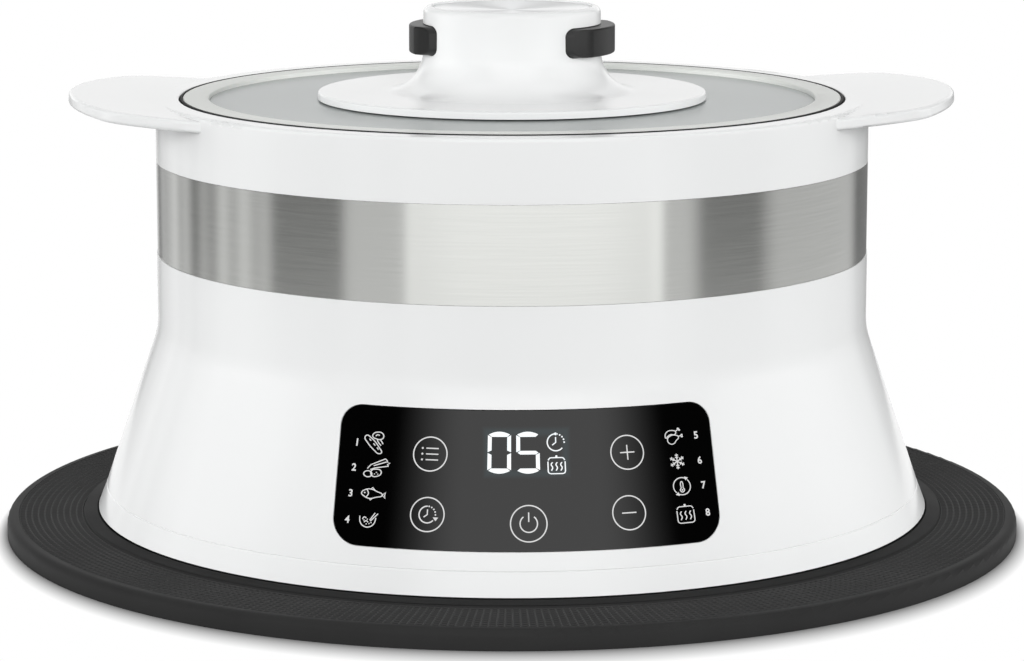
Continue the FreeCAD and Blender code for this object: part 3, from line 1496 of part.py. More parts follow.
os.makedirs("parts", exist_ok=True)
for piece in pieces:
    piece.Shape.exportStep(os.path.join("parts", f"{piece.Label}.step"))
    print(f"{piece.Label}: {len(piece.Shape.Solids)} solid(s), {piece.Shape.Volume / 1000:.1f} cm3")
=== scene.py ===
# %% [markdown]
# # Dressing an electric food steamer
# The steamer is a round white unit on a wide black silicone skirt.  It has a brushed band, a black touch
# panel, a grey lid with a squeeze knob, and two thin lifting ears.  Its solids come from CAD with exact
# sizes, so this file keeps their sizes and gives each surface the look of the real thing.
#
# All lengths below are in millimetres until they reach Blender, which works in metres.  Only the studio
# at the end is laid out in metres.

# %% Set up
import json
from math import cos, hypot, pi, radians, sin

import bpy
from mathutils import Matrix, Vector


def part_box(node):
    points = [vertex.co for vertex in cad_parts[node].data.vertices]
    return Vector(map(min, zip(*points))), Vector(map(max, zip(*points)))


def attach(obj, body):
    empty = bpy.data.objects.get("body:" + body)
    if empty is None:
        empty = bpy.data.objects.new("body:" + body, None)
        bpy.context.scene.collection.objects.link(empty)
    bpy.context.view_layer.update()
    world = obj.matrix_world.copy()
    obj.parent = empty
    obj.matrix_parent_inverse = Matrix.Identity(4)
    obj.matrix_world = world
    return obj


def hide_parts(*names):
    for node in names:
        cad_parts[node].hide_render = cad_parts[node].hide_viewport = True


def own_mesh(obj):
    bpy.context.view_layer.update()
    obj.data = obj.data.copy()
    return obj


MM = 0.001
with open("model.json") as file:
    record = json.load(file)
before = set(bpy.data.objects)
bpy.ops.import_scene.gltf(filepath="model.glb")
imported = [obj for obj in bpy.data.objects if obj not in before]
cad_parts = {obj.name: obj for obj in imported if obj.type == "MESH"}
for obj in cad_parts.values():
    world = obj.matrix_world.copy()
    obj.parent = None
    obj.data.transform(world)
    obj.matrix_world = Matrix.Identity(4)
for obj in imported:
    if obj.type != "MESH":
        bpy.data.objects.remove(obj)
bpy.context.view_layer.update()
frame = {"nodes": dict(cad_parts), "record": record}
nodes = frame["nodes"]
bpy.ops.object.select_all(action="DESELECT")

# %% [markdown]
# ## Colours and shader nodes
# Colours are easiest to pick as the sRGB hex values that a paint chart would give.  Shaders work in
# linear light, so one function converts them.  A second function adds a shader node, sets its inputs
# and links them, so that a material reads as a short list of nodes.  No real surface has one flat colour,
# so another function lets a noise pattern drift a finish between two close colours and two glosses.


# %% Colour and node helpers
NOISE_LOW, NOISE_HIGH = 0.3, 0.7    # a noise texture seldom leaves this range


def linear(code):
    """Linear RGBA from an sRGB hex colour."""
    channels = [int(code[i:i + 2], 16) / 255 for i in (1, 3, 5)]
    return [c / 12.92 if c <= 0.04045 else ((c + 0.055) / 1.055) ** 2.4 for c in channels] + [1.0]


def add_node(tree, kind, settings=None, **inputs):
    """Add a shader node.  An input given as a socket is linked, and any other value is set."""
    node = tree.nodes.new(f"ShaderNode{kind}")
    for name, value in (settings or {}).items():
        setattr(node, name, value)
    for name, value in inputs.items():
        label = name.replace("_", " ")
        socket = next((s for s in node.inputs if s.name.lower() == label.lower() and s.enabled), None)
        socket = socket or node.inputs[int(name.split("_")[-1])]
        if isinstance(value, bpy.types.NodeSocket):
            tree.links.new(value, socket)
        else:
            socket.default_value = value
    return node


def set_inputs(node, **values):
    """Set several inputs of a node by name, with _ for each space."""
    for name, value in values.items():
        node.inputs[name.replace("_", " ")].default_value = value


def new_material(name):
    """Empty material with a Principled shader on its output."""
    material = bpy.data.materials.new(name)
    material.use_nodes = True
    tree = material.node_tree
    tree.nodes.clear()
    shader = add_node(tree, "BsdfPrincipled")
    add_node(tree, "OutputMaterial", Surface=shader.outputs["BSDF"])
    return material, tree, shader


def compute(tree, operation, *values, clamp=False):
    """Arithmetic on one or two values, each a number or a socket."""
    numbered = {f"_{index}": value for index, value in enumerate(values)}
    return add_node(tree, "Math", {"operation": operation, "use_clamp": clamp}, **numbered).outputs[0]


def soft_step(tree, value, low, high, before, after):
    """Number that passes smoothly from one level to another as a value runs from low to high."""
    step = add_node(tree, "MapRange", {"interpolation_type": "SMOOTHSTEP"}, Value=value,
                    From_Min=low, From_Max=high, To_Min=before, To_Max=after)
    return step.outputs[0]


def blend(tree, share, first, second):
    """Number that passes from one level to another as a share runs from 0 to 1."""
    return add_node(tree, "Mix", {"data_type": "FLOAT"}, _0=share, _2=first, _3=second).outputs[0]


def vary_finish(tree, shader, pattern, dark, light, gloss=None, into="Base Color"):
    """Drift a colour between two hex codes, and the roughness between two values, with a noise pattern."""
    spread = {"Value": pattern, "From_Min": NOISE_LOW, "From_Max": NOISE_HIGH}
    share = add_node(tree, "MapRange", **spread).outputs[0]
    tint = add_node(tree, "Mix", {"data_type": "RGBA"}, _0=share, _6=linear(dark), _7=linear(light))
    tree.links.new(tint.outputs[2], shader.inputs[into])
    if gloss:
        roughness = add_node(tree, "MapRange", **spread, To_Min=gloss[0], To_Max=gloss[1])
        tree.links.new(roughness.outputs[0], shader.inputs["Roughness"])


def relief(tree, shader, pattern, height):
    """Bump that follows a noise pattern, with its height in millimetres."""
    bump = add_node(tree, "Bump", Height=pattern, Distance=height * MM, Strength=1.0)
    tree.links.new(bump.outputs[0], shader.inputs["Normal"])


def grain(tree, shader, position, size, height):
    """Fine bump from noise: the size of its features and its height in millimetres."""
    noise = add_node(tree, "TexNoise", Vector=position, Scale=1 / (size * MM), Detail=2.0)
    relief(tree, shader, noise.outputs[0], height)


print(f"white paint #EEEEEE is {linear('#EEEEEE')[0]:.2f} in linear light")

# %% [markdown]
# ## Plastics
# The housing is glossy white ABS from a polished mould.  Even a polished part is not a mirror: the skin
# has a very slight ripple, about 4 mm from crest to crest, and a tint that drifts by a fraction of a
# shade.  The inner parts are matte grey polypropylene, and the grips are black nylon with a fine spark
# texture of about 0.5 mm.  The touch panel is a hard clear film over black print, almost a mirror.


# %% Moulded plastics
TINT_PATCHES = 9.0      # per metre
GLOSS_DRIFT = 0.08      # share of the roughness


def moulded_plastic(name, dark, light, roughness, ripple, ripple_height):
    """Plastic with a slow tint drift, a slight change of gloss and a bump of a given size in mm."""
    material, tree, shader = new_material(name)
    position = add_node(tree, "TexCoord").outputs["Object"]
    patches = add_node(tree, "TexNoise", Vector=position, Scale=TINT_PATCHES, Detail=2.0)
    gloss = (roughness * (1 - GLOSS_DRIFT), roughness * (1 + GLOSS_DRIFT))
    vary_finish(tree, shader, patches.outputs[0], dark, light, gloss)
    grain(tree, shader, position, ripple, ripple_height)
    return material


white_abs = moulded_plastic("white_gloss_abs", "#EDEEEE", "#F0F1F1", 0.16, 4.0, 0.003)
grey_polypropylene = moulded_plastic("grey_polypropylene", "#8E9092", "#98999B", 0.5, 0.8, 0.01)
grey_lid_abs = moulded_plastic("grey_lid_abs", "#E8EAE6", "#ECEEEA", 0.42, 1.2, 0.006)
black_nylon = moulded_plastic("black_nylon", "#191919", "#1F1F1F", 0.42, 0.5, 0.02)
black_gloss_overlay = moulded_plastic("black_gloss_overlay", "#020202", "#030303", 0.07, 9.0, 0.0005)
circuit_board_resist = moulded_plastic("circuit_board_resist", "#1E5A35", "#256A3F", 0.4, 0.6, 0.01)
print("plastics:", white_abs.name, grey_polypropylene.name, grey_lid_abs.name, black_nylon.name)

# %% [markdown]
# ## Silicone
# The skirt is moulded black silicone.  Silicone has a soft sheen and a dusty, slightly uneven surface,
# so its roughness changes slowly over a few centimetres, and a fine grain of half a millimetre breaks
# up the highlight.  Its dust also takes the shine off at a low angle, so its specular level is low.  Two
# shades of it are painted light: a paler copy on the sloped sides of the grid's ribs is a painted
# highlight, and a darker copy on the grid's cells and the skirt's lip is painted shade.


# %% Silicone
DUST_PATCHES = 28.0     # per metre
SILICONE_GLOSS = (0.62, 0.72)
SILICONE_GRAIN = (0.5, 0.012)       # size and height in mm
HOSE_GRAIN = (0.8, 0.01)


def silicone(name, dark, light):
    """Dusty moulded silicone."""
    material, tree, shader = new_material(name)
    position = add_node(tree, "TexCoord").outputs["Object"]
    dust = add_node(tree, "TexNoise", Vector=position, Scale=DUST_PATCHES, Detail=4.0)
    vary_finish(tree, shader, dust.outputs[0], dark, light, SILICONE_GLOSS)
    set_inputs(shader, IOR=1.41, Specular_IOR_Level=0.3)
    grain(tree, shader, position, *SILICONE_GRAIN)
    return material


black_silicone = silicone("black_silicone", "#272727", "#2D2D2D")
# paler copy for the sloped sides of the grid's ribs: a painted highlight where they catch the light
silicone_painted_highlight = silicone("black_silicone_painted_highlight", "#363636", "#3F3F3F")
# darker copy for the grid's cells and the skirt's lip: painted shade
silicone_painted_shade = silicone("black_silicone_painted_shade", "#121212", "#171717")

clear_silicone, tree, shader = new_material("clear_silicone_hose")
set_inputs(shader, Base_Color=linear("#DADAD4"), Roughness=0.35, Transmission_Weight=0.3)
grain(tree, shader, add_node(tree, "TexCoord").outputs["Object"], *HOSE_GRAIN)
print("silicones:", black_silicone.name, clear_silicone.name)

# %% [markdown]
# ## Metals
# The band is stainless strip, brushed along its length, so its scratches run round the unit: noise that
# is stretched sideways and squeezed upwards makes them.  Such scratches smear each reflection up and
# down only, so the edges of the lamps stay crisp from side to side.  The shader's anisotropy smears along
# its tangent, which runs round the axis, so it is turned by a quarter.  The other metals are a cast
# aluminium boiler and drawn steel parts.


# %% Brushed metals
METAL_DRIFT = 0.1       # share of the roughness


def brush_round(tree, shader, anisotropy):
    """Bare metal that smears reflections across scratches that run round the axis."""
    tangent = add_node(tree, "Tangent", {"direction_type": "RADIAL", "axis": "Z"})
    tree.links.new(tangent.outputs[0], shader.inputs["Tangent"])
    set_inputs(shader, Metallic=1.0, Anisotropic=anisotropy, Anisotropic_Rotation=0.25)


def brushed_metal(name, dark, light, roughness, anisotropy, grain_size, scratch_height):
    """Metal with scratches: the size of their features in mm along X, Y and Z."""
    material, tree, shader = new_material(name)
    position = add_node(tree, "TexCoord").outputs["Object"]
    stretch = [1 / (length * MM) for length in grain_size]
    mapped = add_node(tree, "Mapping", Vector=position, Scale=stretch)
    scratches = add_node(tree, "TexNoise", Vector=mapped.outputs[0], Scale=1.0, Detail=3.0, Roughness=0.6)
    gloss = (roughness * (1 - METAL_DRIFT), roughness * (1 + METAL_DRIFT))
    vary_finish(tree, shader, scratches.outputs[0], dark, light, gloss)
    relief(tree, shader, scratches.outputs[0], scratch_height)
    brush_round(tree, shader, anisotropy)
    return material


brushed_steel = brushed_metal("brushed_stainless", "#C3C4C1", "#CACBC8", 0.22, 0.97, (30, 30, 0.35), 0.0005)
plain_steel = brushed_metal("drawn_steel", "#8F9092", "#A3A4A6", 0.35, 0.0, (2.5, 2.5, 2.5), 0.004)
cast_aluminium = brushed_metal("cast_aluminium", "#A9AAAC", "#B9BABC", 0.48, 0.0, (1.1, 1.1, 1.1), 0.03)

# %% [markdown]
# The cap in the knob is spun aluminium.  Its scratches are circles round its centre, so their noise is
# read along the distance from the centre only, and they throw bright and dark sectors.

# %% Spun aluminium
CIRCLES = 2600.0        # per metre of radius
CIRCLE_HEIGHT = 0.004   # mm
spun_aluminium, tree, shader = new_material("spun_aluminium")
position = add_node(tree, "TexCoord").outputs["Object"]
flat = add_node(tree, "VectorMath", {"operation": "MULTIPLY"}, _0=position, _1=(1.0, 1.0, 0.0))
radius = add_node(tree, "VectorMath", {"operation": "LENGTH"}, _0=flat.outputs[0])
along = add_node(tree, "CombineXYZ", X=radius.outputs["Value"])
circles = add_node(tree, "TexNoise", Vector=along.outputs[0], Scale=CIRCLES, Detail=3.0, Roughness=0.7)
vary_finish(tree, shader, circles.outputs[0], "#DDDEDF", "#ECEDED")
relief(tree, shader, circles.outputs[0], CIRCLE_HEIGHT)
brush_round(tree, shader, 0.9)
set_inputs(shader, Roughness=0.32)
print("metals:", brushed_steel.name, plain_steel.name, cast_aluminium.name, spun_aluminium.name)

# %% [markdown]
# ## Frosted glass and printed light
# The lid's pane is float glass with a frosted back: smooth to the touch, and milky grey inside.  A clear
# coat over a rough, slightly see-through body gives both.  The panel's symbols are windows in the black
# print, lit from behind.  The digits are brighter than the symbols, as their own lamps sit close behind,
# and the film over them scatters a faint halo.


# %% Glass and light
FROST_GRAINS = 900.0    # per metre
FROST_GLOSS = (0.42, 0.5)
LAMP_PATCHES = 160.0    # per metre
frosted_glass, tree, shader = new_material("frosted_glass")
position = add_node(tree, "TexCoord").outputs["Object"]
frost = add_node(tree, "TexNoise", Vector=position, Scale=FROST_GRAINS, Detail=2.0)
vary_finish(tree, shader, frost.outputs[0], "#B2B7B6", "#BABFBE", FROST_GLOSS)
set_inputs(shader, Specular_IOR_Level=0.2, Transmission_Weight=0.12, Coat_Weight=0.35, Coat_Roughness=0.15)


def lit_print(name, dark, light, strength):
    """Print lit from behind, a little brighter where its lamps are."""
    material, tree, shader = new_material(name)
    set_inputs(shader, Base_Color=linear("#101010"), Roughness=0.3, Emission_Strength=strength)
    position = add_node(tree, "TexCoord").outputs["Object"]
    lamps = add_node(tree, "TexNoise", Vector=position, Scale=LAMP_PATCHES, Detail=1.0)
    vary_finish(tree, shader, lamps.outputs[0], dark, light, into="Emission Color")
    return material


HALO_FRAME = (("X", -0.4, 13.5), ("Z", 56.8, 6.8))      # axis, and its middle and half width in mm
HALO_REACH, HALO_STRENGTH = 2.2, 0.03


def display_halo():
    """Faint bluish light that the clear film spreads round the edge of the display."""
    tree = black_gloss_overlay.node_tree
    shader = next(node for node in tree.nodes if node.type == "BSDF_PRINCIPLED")
    place = add_node(tree, "SeparateXYZ", Vector=add_node(tree, "TexCoord").outputs["Object"])
    outside = []
    for axis, middle, half in HALO_FRAME:
        offset = compute(tree, "ABSOLUTE", compute(tree, "SUBTRACT", place.outputs[axis], middle * MM))
        outside.append(compute(tree, "SUBTRACT", offset, half * MM))
    distance = compute(tree, "ABSOLUTE", compute(tree, "MAXIMUM", *outside))
    strength = soft_step(tree, distance, 0.0, HALO_REACH * MM, HALO_STRENGTH, 0.0)
    set_inputs(shader, Emission_Color=linear("#8CCBDA"))
    tree.links.new(strength, shader.inputs["Emission Strength"])


display_halo()
lit_digits = lit_print("lit_digits", "#F4FCFF", "#FFFFFF", 1.05)
lit_symbols = lit_print("lit_symbols", "#D6D6D6", "#E4E4E4", 1.0)
print("glass and prints:", frosted_glass.name, lit_digits.name, lit_symbols.name)

# %% [markdown]
# ## Carrying the CAD solids over
# A CAD solid comes in as loose triangles, which shade as flat facets.  Each one that shows is copied, its
# corners are merged, and it is shaded smooth across every edge under 30 degrees, so that its fillets
# look round and its real edges stay crisp.  On the flat lifting ears, large faces then count for more
# than slivers, which keeps them evenly lit.  The copy takes the solid's place.

# %% Smooth copies of the CAD solids
BODIES = frame["record"]["behaviour"]["bodies"]
BODY_OF = {node: body for body, members in BODIES.items() for node in members}
SMOOTH_ANGLE = 30.0
CAD_MERGE, MERGE = 0.002, 0.001     # mm between corners that are one, in CAD solids and in new pieces


def select_only(piece):
    """Deselect everything else, because an operator acts on all that is selected."""
    bpy.ops.object.select_all(action="DESELECT")
    piece.select_set(True)
    bpy.context.view_layer.objects.active = piece


def adopt(piece, node, material, hides=False):
    """Give a piece its material and the body of a CAD node.  With hides, it stands for the node."""
    piece.data.materials.clear()
    piece.data.materials.append(material)
    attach(piece, BODY_OF[node])
    if hides:
        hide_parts(node)


def smooth_copy(node, material, flat_faces=False):
    """Merged and smoothed copy of a CAD node.  With flat_faces, large faces are kept evenly lit."""
    piece = bpy.data.objects.new(f"{node}_surface", nodes[node].data.copy())
    bpy.context.collection.objects.link(piece)
    select_only(piece)
    bpy.ops.object.mode_set(mode="EDIT")
    bpy.ops.mesh.select_all(action="SELECT")
    bpy.ops.mesh.remove_doubles(threshold=CAD_MERGE * MM)
    bpy.ops.object.mode_set(mode="OBJECT")
    if piece.data.has_custom_normals:
        bpy.ops.mesh.customdata_custom_splitnormals_clear()
    bpy.ops.object.shade_smooth_by_angle(angle=radians(SMOOTH_ANGLE))
    if flat_faces:
        even = piece.modifiers.new("even_shading", "WEIGHTED_NORMAL")
        even.keep_sharp = True
        bpy.ops.object.modifier_apply(modifier="even_shading")
    adopt(piece, node, material, hides=True)


FINISHES = {
    "base_ring": white_abs,
    "cowl": white_abs,
    "handle_ring": white_abs,
    "knob_shell": white_abs,
    "water_tank": white_abs,
    "control_panel": black_gloss_overlay,
    "lid_ring": grey_lid_abs,
    "lid_window": frosted_glass,
    "lid_gasket": black_silicone,
    "disc_gasket": clear_silicone,
    "silicone_seal": black_silicone,
    "latch_button_right": black_nylon,
    "latch_button_left": black_nylon,
    "mains_gland": black_nylon,
    "chamber_dome": grey_polypropylene,
    "latch_collar": grey_polypropylene,
    "steam_diffuser": grey_polypropylene,
    "lid_clamp": grey_polypropylene,
    "latch_carrier": grey_polypropylene,
    "nozzle_seal": black_silicone,
    "boiler": cast_aluminium,
    "boiler_cover": cast_aluminium,
    "capacitors": cast_aluminium,
    "boiler_seal": black_silicone,
    "heating_element": plain_steel,
    "thermostat": plain_steel,
    "transformer": plain_steel,
    "base_screws": plain_steel,
    "lid_screws": plain_steel,
    "latch_spring_right": plain_steel,
    "latch_spring_left": plain_steel,
    "thermal_fuse": white_abs,
    "terminal_block": white_abs,
    "water_valve": black_nylon,
    "display_module": black_nylon,
    "relay": black_nylon,
    "feed_hose": clear_silicone,
    "touch_board": circuit_board_resist,
    "power_board": circuit_board_resist,
    "touch_pads": black_silicone,
}
for node, material in FINISHES.items():
    smooth_copy(node, material, flat_faces=node == "handle_ring")
print(f"{len(FINISHES)} solids copied and smoothed")

# %% [markdown]
# The wall of the base ring runs straight down to a crisp edge just over the skirt.  The solid has a fine
# rounding there, whose slivers would break the edge into dashes, so its corners are moved out to the
# line of the wall, and the new edge is shaded as a sharp one.

# %% Crisp foot of the base ring
FOOT_Z, FOOT_RADIUS = 9.3, 159.1
WALL_LEAN = 3.2 / 8.3                           # mm inwards for each mm up
ROUNDING_LOW, ROUNDING_HIGH = -0.05, 1.15       # mm over the foot
ROUNDING_DEPTH = 1.5                            # mm in from the foot
ring = bpy.data.objects["base_ring_surface"]
moved = 0
for vertex in ring.data.vertices:
    radius = hypot(vertex.co.x, vertex.co.y)
    rise = vertex.co.z / MM - FOOT_Z
    if ROUNDING_LOW < rise < ROUNDING_HIGH and radius > (FOOT_RADIUS - ROUNDING_DEPTH) * MM:
        vertex.co.xy *= (FOOT_RADIUS - rise * WALL_LEAN) * MM / radius
        moved += 1
select_only(ring)
bpy.ops.object.shade_smooth_by_angle(angle=radians(SMOOTH_ANGLE))
print(f"base ring: {moved} corners of the foot moved out to its wall")

# %% [markdown]
# A bow spring stands between each button and the post in the middle of the knob.  As the button goes in,
# the real bow flattens by the button's travel, towards its end at the post.  Here each spring only gets a
# mesh of its own; how far its corners reach along the button's travel is read but not used.

# %% Springs given meshes of their own
for joint in frame["record"]["behaviour"]["joints"]:
    for soft in joint.get("deforming_nodes", []):
        spring = bpy.data.objects[f"{soft['node']}_surface"]
        inward = Vector(joint["axis"])
        reach = [vertex.co.dot(inward) for vertex in spring.data.vertices]
        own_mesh(spring)

# %% [markdown]
# ## Band and cap
# The band is a flat strip rolled into a hoop, and the cap is a shallow dish.  A turned part is easiest
# to make as on a lathe: one vertex is extruded along half of the section, and the line is spun about the
# unit's axis.  The band stops short of a full turn, because the strip's ends meet at the back.


# %% Turned pieces
def turned(name, outline, steps, turn=360.0, start=0.0):
    """Spin an outline of (radius, height) points in millimetres about the Z axis."""
    bpy.ops.object.select_all(action="DESELECT")
    bpy.ops.mesh.primitive_plane_add(size=MM, location=(0, 0, 0))
    piece = bpy.context.object
    piece.name = name
    bpy.ops.object.mode_set(mode="EDIT")
    bpy.ops.mesh.select_all(action="SELECT")
    bpy.ops.mesh.merge(type="CENTER")
    here = Vector((0, 0, 0))
    facing = radians(start)
    for number, (radius, height) in enumerate(outline):
        point = Vector((radius * cos(facing), radius * sin(facing), height)) * MM
        if number == 0:
            bpy.ops.transform.translate(value=point - here)
        else:
            bpy.ops.mesh.extrude_vertices_move(TRANSFORM_OT_translate={"value": point - here})
        here = point
    bpy.ops.mesh.select_all(action="SELECT")
    bpy.ops.mesh.remove_doubles(threshold=MERGE * MM)
    bpy.ops.mesh.spin(steps=steps, angle=radians(turn), center=(0, 0, 0), axis=(0, 0, 1))
    bpy.ops.mesh.select_all(action="SELECT")
    bpy.ops.mesh.remove_doubles(threshold=MERGE * MM)
    if turn < 360.0:
        bpy.ops.mesh.select_all(action="DESELECT")
        bpy.ops.mesh.select_non_manifold(extend=False, use_wire=False, use_multi_face=False,
                                         use_non_contiguous=False, use_verts=False)
        bpy.ops.mesh.edge_face_add()
        bpy.ops.mesh.select_all(action="SELECT")
    bpy.ops.mesh.normals_make_consistent(inside=False)
    bpy.ops.object.mode_set(mode="OBJECT")
    bpy.ops.object.shade_smooth_by_angle(angle=radians(SMOOTH_ANGLE))
    return piece


# %% Steel band
low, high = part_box("steel_band")
BAND_RADIUS = high[0] / MM
BAND_SHEET, BAND_EDGE = 0.55, 0.12
BAND_BORE = BAND_RADIUS - BAND_SHEET
BAND_LOW, BAND_HIGH = low[2] / MM, high[2] / MM
BAND_TURN, BAND_START = 359.7, 90.15            # degrees; the joint is at the back
band = turned("brushed_band", [
    (BAND_BORE, BAND_LOW),
    (BAND_RADIUS - BAND_EDGE, BAND_LOW),
    (BAND_RADIUS, BAND_LOW + BAND_EDGE),
    (BAND_RADIUS, BAND_HIGH - BAND_EDGE),
    (BAND_RADIUS - BAND_EDGE, BAND_HIGH),
    (BAND_BORE, BAND_HIGH),
    (BAND_BORE, BAND_LOW),
], steps=360, turn=BAND_TURN, start=BAND_START)
adopt(band, "steel_band", brushed_steel, hides=True)
print(f"band: radius {BAND_RADIUS:.2f} mm, {BAND_HIGH - BAND_LOW:.1f} mm wide")

# %% Knob cap
low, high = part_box("knob_cap")
CAP_RADIUS, CAP_LOW, CAP_HIGH = high[0] / MM, low[2] / MM, high[2] / MM
CAP_DISH = 0.9
CAP_EDGE = 0.35
DISH_RINGS = 12
dish = [(CAP_RADIUS * step / DISH_RINGS, CAP_HIGH - CAP_DISH * (1 - (step / DISH_RINGS) ** 2))
        for step in range(DISH_RINGS - 1, -1, -1)]
cap = turned("spun_cap", [
    (0, CAP_LOW),
    (CAP_RADIUS - CAP_EDGE, CAP_LOW),
    (CAP_RADIUS, CAP_LOW + CAP_EDGE),
    (CAP_RADIUS, CAP_HIGH - CAP_EDGE),
    (CAP_RADIUS - CAP_EDGE / 3, CAP_HIGH - CAP_EDGE / 4),
    (CAP_RADIUS - CAP_EDGE, CAP_HIGH),
] + dish, steps=144)
adopt(cap, "knob_cap", spun_aluminium, hides=True)
print(f"cap: radius {CAP_RADIUS:.2f} mm, dished by {CAP_DISH} mm")

# %% [markdown]
# ## Grid on the skirt
# Between its two beads the skirt has a moulded grid of fine ribs, in rings and along the radius, so that
# it grips a damp dish.  One row of cells is a grid primitive whose sides follow the radius.  Each cell is
# inset, and its middle is pushed down, which leaves a rib between neighbours.  The row is then spun with
# copies into the whole ring.  A thickness underneath closes it.

# %% Skirt grid
GRID_INNER, GRID_OUTER = 165.25, 189.3
GRID_RINGS, GRID_ROWS = 10, 428
RIB_TOP, CELL_FLOOR = 7.28, 6.96
RIB_SIDE = 0.42             # half of a rib's width at its foot
GRID_MERGE, GRID_DEPTH = 0.01, 0.4
# rib sides whose normal rises within this range get the painted highlight
HIGHLIGHT_SLOPE = (0.05, 0.98)    # upward part of the normal of a rib's side
bpy.ops.object.select_all(action="DESELECT")
bpy.ops.mesh.primitive_grid_add(x_subdivisions=GRID_RINGS, y_subdivisions=1, size=1, location=(0, 0, 0))
grid = bpy.context.object
grid.name = "skirt_grid"
half_angle = pi / GRID_ROWS
for vertex in grid.data.vertices:
    radius = (GRID_INNER + (vertex.co.x + 0.5) * (GRID_OUTER - GRID_INNER)) * MM
    angle = half_angle * (1 if vertex.co.y > 0 else -1)
    vertex.co = (radius * cos(angle), radius * sin(angle), RIB_TOP * MM)
bpy.ops.object.mode_set(mode="EDIT")
bpy.ops.mesh.select_all(action="SELECT")
bpy.ops.mesh.inset(thickness=RIB_SIDE * MM, depth=0, use_individual=True)
bpy.ops.transform.translate(value=(0, 0, (CELL_FLOOR - RIB_TOP) * MM))
bpy.ops.mesh.select_all(action="SELECT")
bpy.ops.mesh.spin(steps=GRID_ROWS, angle=2 * pi, center=(0, 0, 0), axis=(0, 0, 1), dupli=True)
bpy.ops.mesh.select_all(action="SELECT")
bpy.ops.mesh.remove_doubles(threshold=GRID_MERGE * MM)
bpy.ops.mesh.normals_make_consistent(inside=False)
bpy.ops.object.mode_set(mode="OBJECT")
if sum(face.normal.z for face in grid.data.polygons) < 0:
    grid.data.flip_normals()
depth = grid.modifiers.new("depth", "SOLIDIFY")
depth.thickness = GRID_DEPTH * MM
depth.offset = -1.0
select_only(grid)
bpy.ops.object.modifier_apply(modifier="depth")
# the grid takes the darker painted-shade copy, and the sloped sides of its ribs the paler painted-highlight
# copy
adopt(grid, "silicone_seal", silicone_painted_shade)
grid.data.materials.append(silicone_painted_highlight)
for face in grid.data.polygons:
    if HIGHLIGHT_SLOPE[0] < face.normal.z < HIGHLIGHT_SLOPE[1]:
        face.material_index = 1
print(f"skirt grid: {GRID_RINGS} x {GRID_ROWS} cells, {len(grid.data.polygons)} faces")

# %% [markdown]
# Two thin lips close the gaps that would otherwise show as black holes.  The skirt's lip leans against
# the foot of the unit, and the lid's lip fills the slit between the lid and the rim.

# %% Silicone lips
SKIRT_LIP = [       # radius and height
    (159.45, 8.1), (164.6, 8.1), (160.9, 8.75), (160.2, 8.9), (159.7, 8.85), (159.45, 8.6), (159.45, 8.1),
]
LID_LIP = [         # outwards and upwards from the lid's top edge
    (0.03, -1.9), (0.45, -1.9), (0.85, -0.25), (0.7, 0.1), (0.03, 0.1), (0.03, -1.9),
]
LID_LIP_GAP = 0.06          # from the lid to the lip
LIP_STEPS = 240
skirt_lip = turned("skirt_lip", SKIRT_LIP, steps=LIP_STEPS)
# the skirt's lip takes the darker copy, as painted shade at the foot of the unit
adopt(skirt_lip, "silicone_seal", silicone_painted_shade)
low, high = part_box("lid_ring")
LID_RADIUS, LID_TOP = high[0] / MM + LID_LIP_GAP, high[2] / MM
lid_lip = turned("lid_lip", [(LID_RADIUS + out, LID_TOP + up) for out, up in LID_LIP], steps=LIP_STEPS)
adopt(lid_lip, "lid_gasket", black_silicone)
print(f"two silicone lips; the lid's is {LID_RADIUS + LID_LIP[2][0]:.2f} mm in radius")

# %% [markdown]
# ## Printing on the panel
# The symbols on the panel are flat drawings in print that light comes through.  Each is drawn flat, with
# X to the right and Y up, from curves: a line is a curve with a round bevel pressed flat, and a filled
# shape is a flat curve with a little thickness.  Both become meshes and are wrapped onto the cone of the
# panel, a few hundredths of a millimetre proud of it.

# %% Cone of the panel
SEAM_RADIUS, SEAM_Z = 155.9, 17.6
TAPER = 20.6 / 59.9
SLOPE = hypot(1.0, TAPER)
PANEL_FOOT_Z, PANEL_TOP_Z = 24.3, 70.6
PANEL_PROUD = 0.2
PRINT_LIFT = 0.03           # mm from the panel to the middle of a print
PRINT_DEPTH = 0.025         # half the thickness of a filled shape
LINE, LINE_FLATNESS = 0.43, 0.1


def panel_radius(height):
    """Radius of the panel's face at a height, in millimetres."""
    return SEAM_RADIUS - (height - SEAM_Z) * TAPER + PANEL_PROUD


def wrap_on_panel(piece, azimuth, height):
    """Lay a flat drawing on the panel, its origin at an azimuth in degrees and a height."""
    middle = panel_radius(height)
    for vertex in piece.data.vertices:
        across, up, out = vertex.co / MM
        up /= SLOPE
        angle = radians(azimuth) + across / middle
        radius = panel_radius(height + up) + PRINT_LIFT + out
        vertex.co = Vector((radius * sin(angle), -radius * cos(angle), height + up)) * MM


foot, top = panel_radius(PANEL_FOOT_Z), panel_radius(PANEL_TOP_Z)
print(f"panel: {foot:.1f} mm in radius at its foot, {top:.1f} mm at its top")


# %% Lines and fills
def arc(radius, first, last, count=16, x=0.0, y=0.0):
    """Points on an arc, from one angle in degrees to another."""
    turns = [radians(first + (last - first) * step / (count - 1)) for step in range(count)]
    return [(x + radius * cos(turn), y + radius * sin(turn)) for turn in turns]


def dot(x, y, radius=0.3):
    """Outline of a small dot."""
    return arc(radius, 0, 315, 8, x, y)


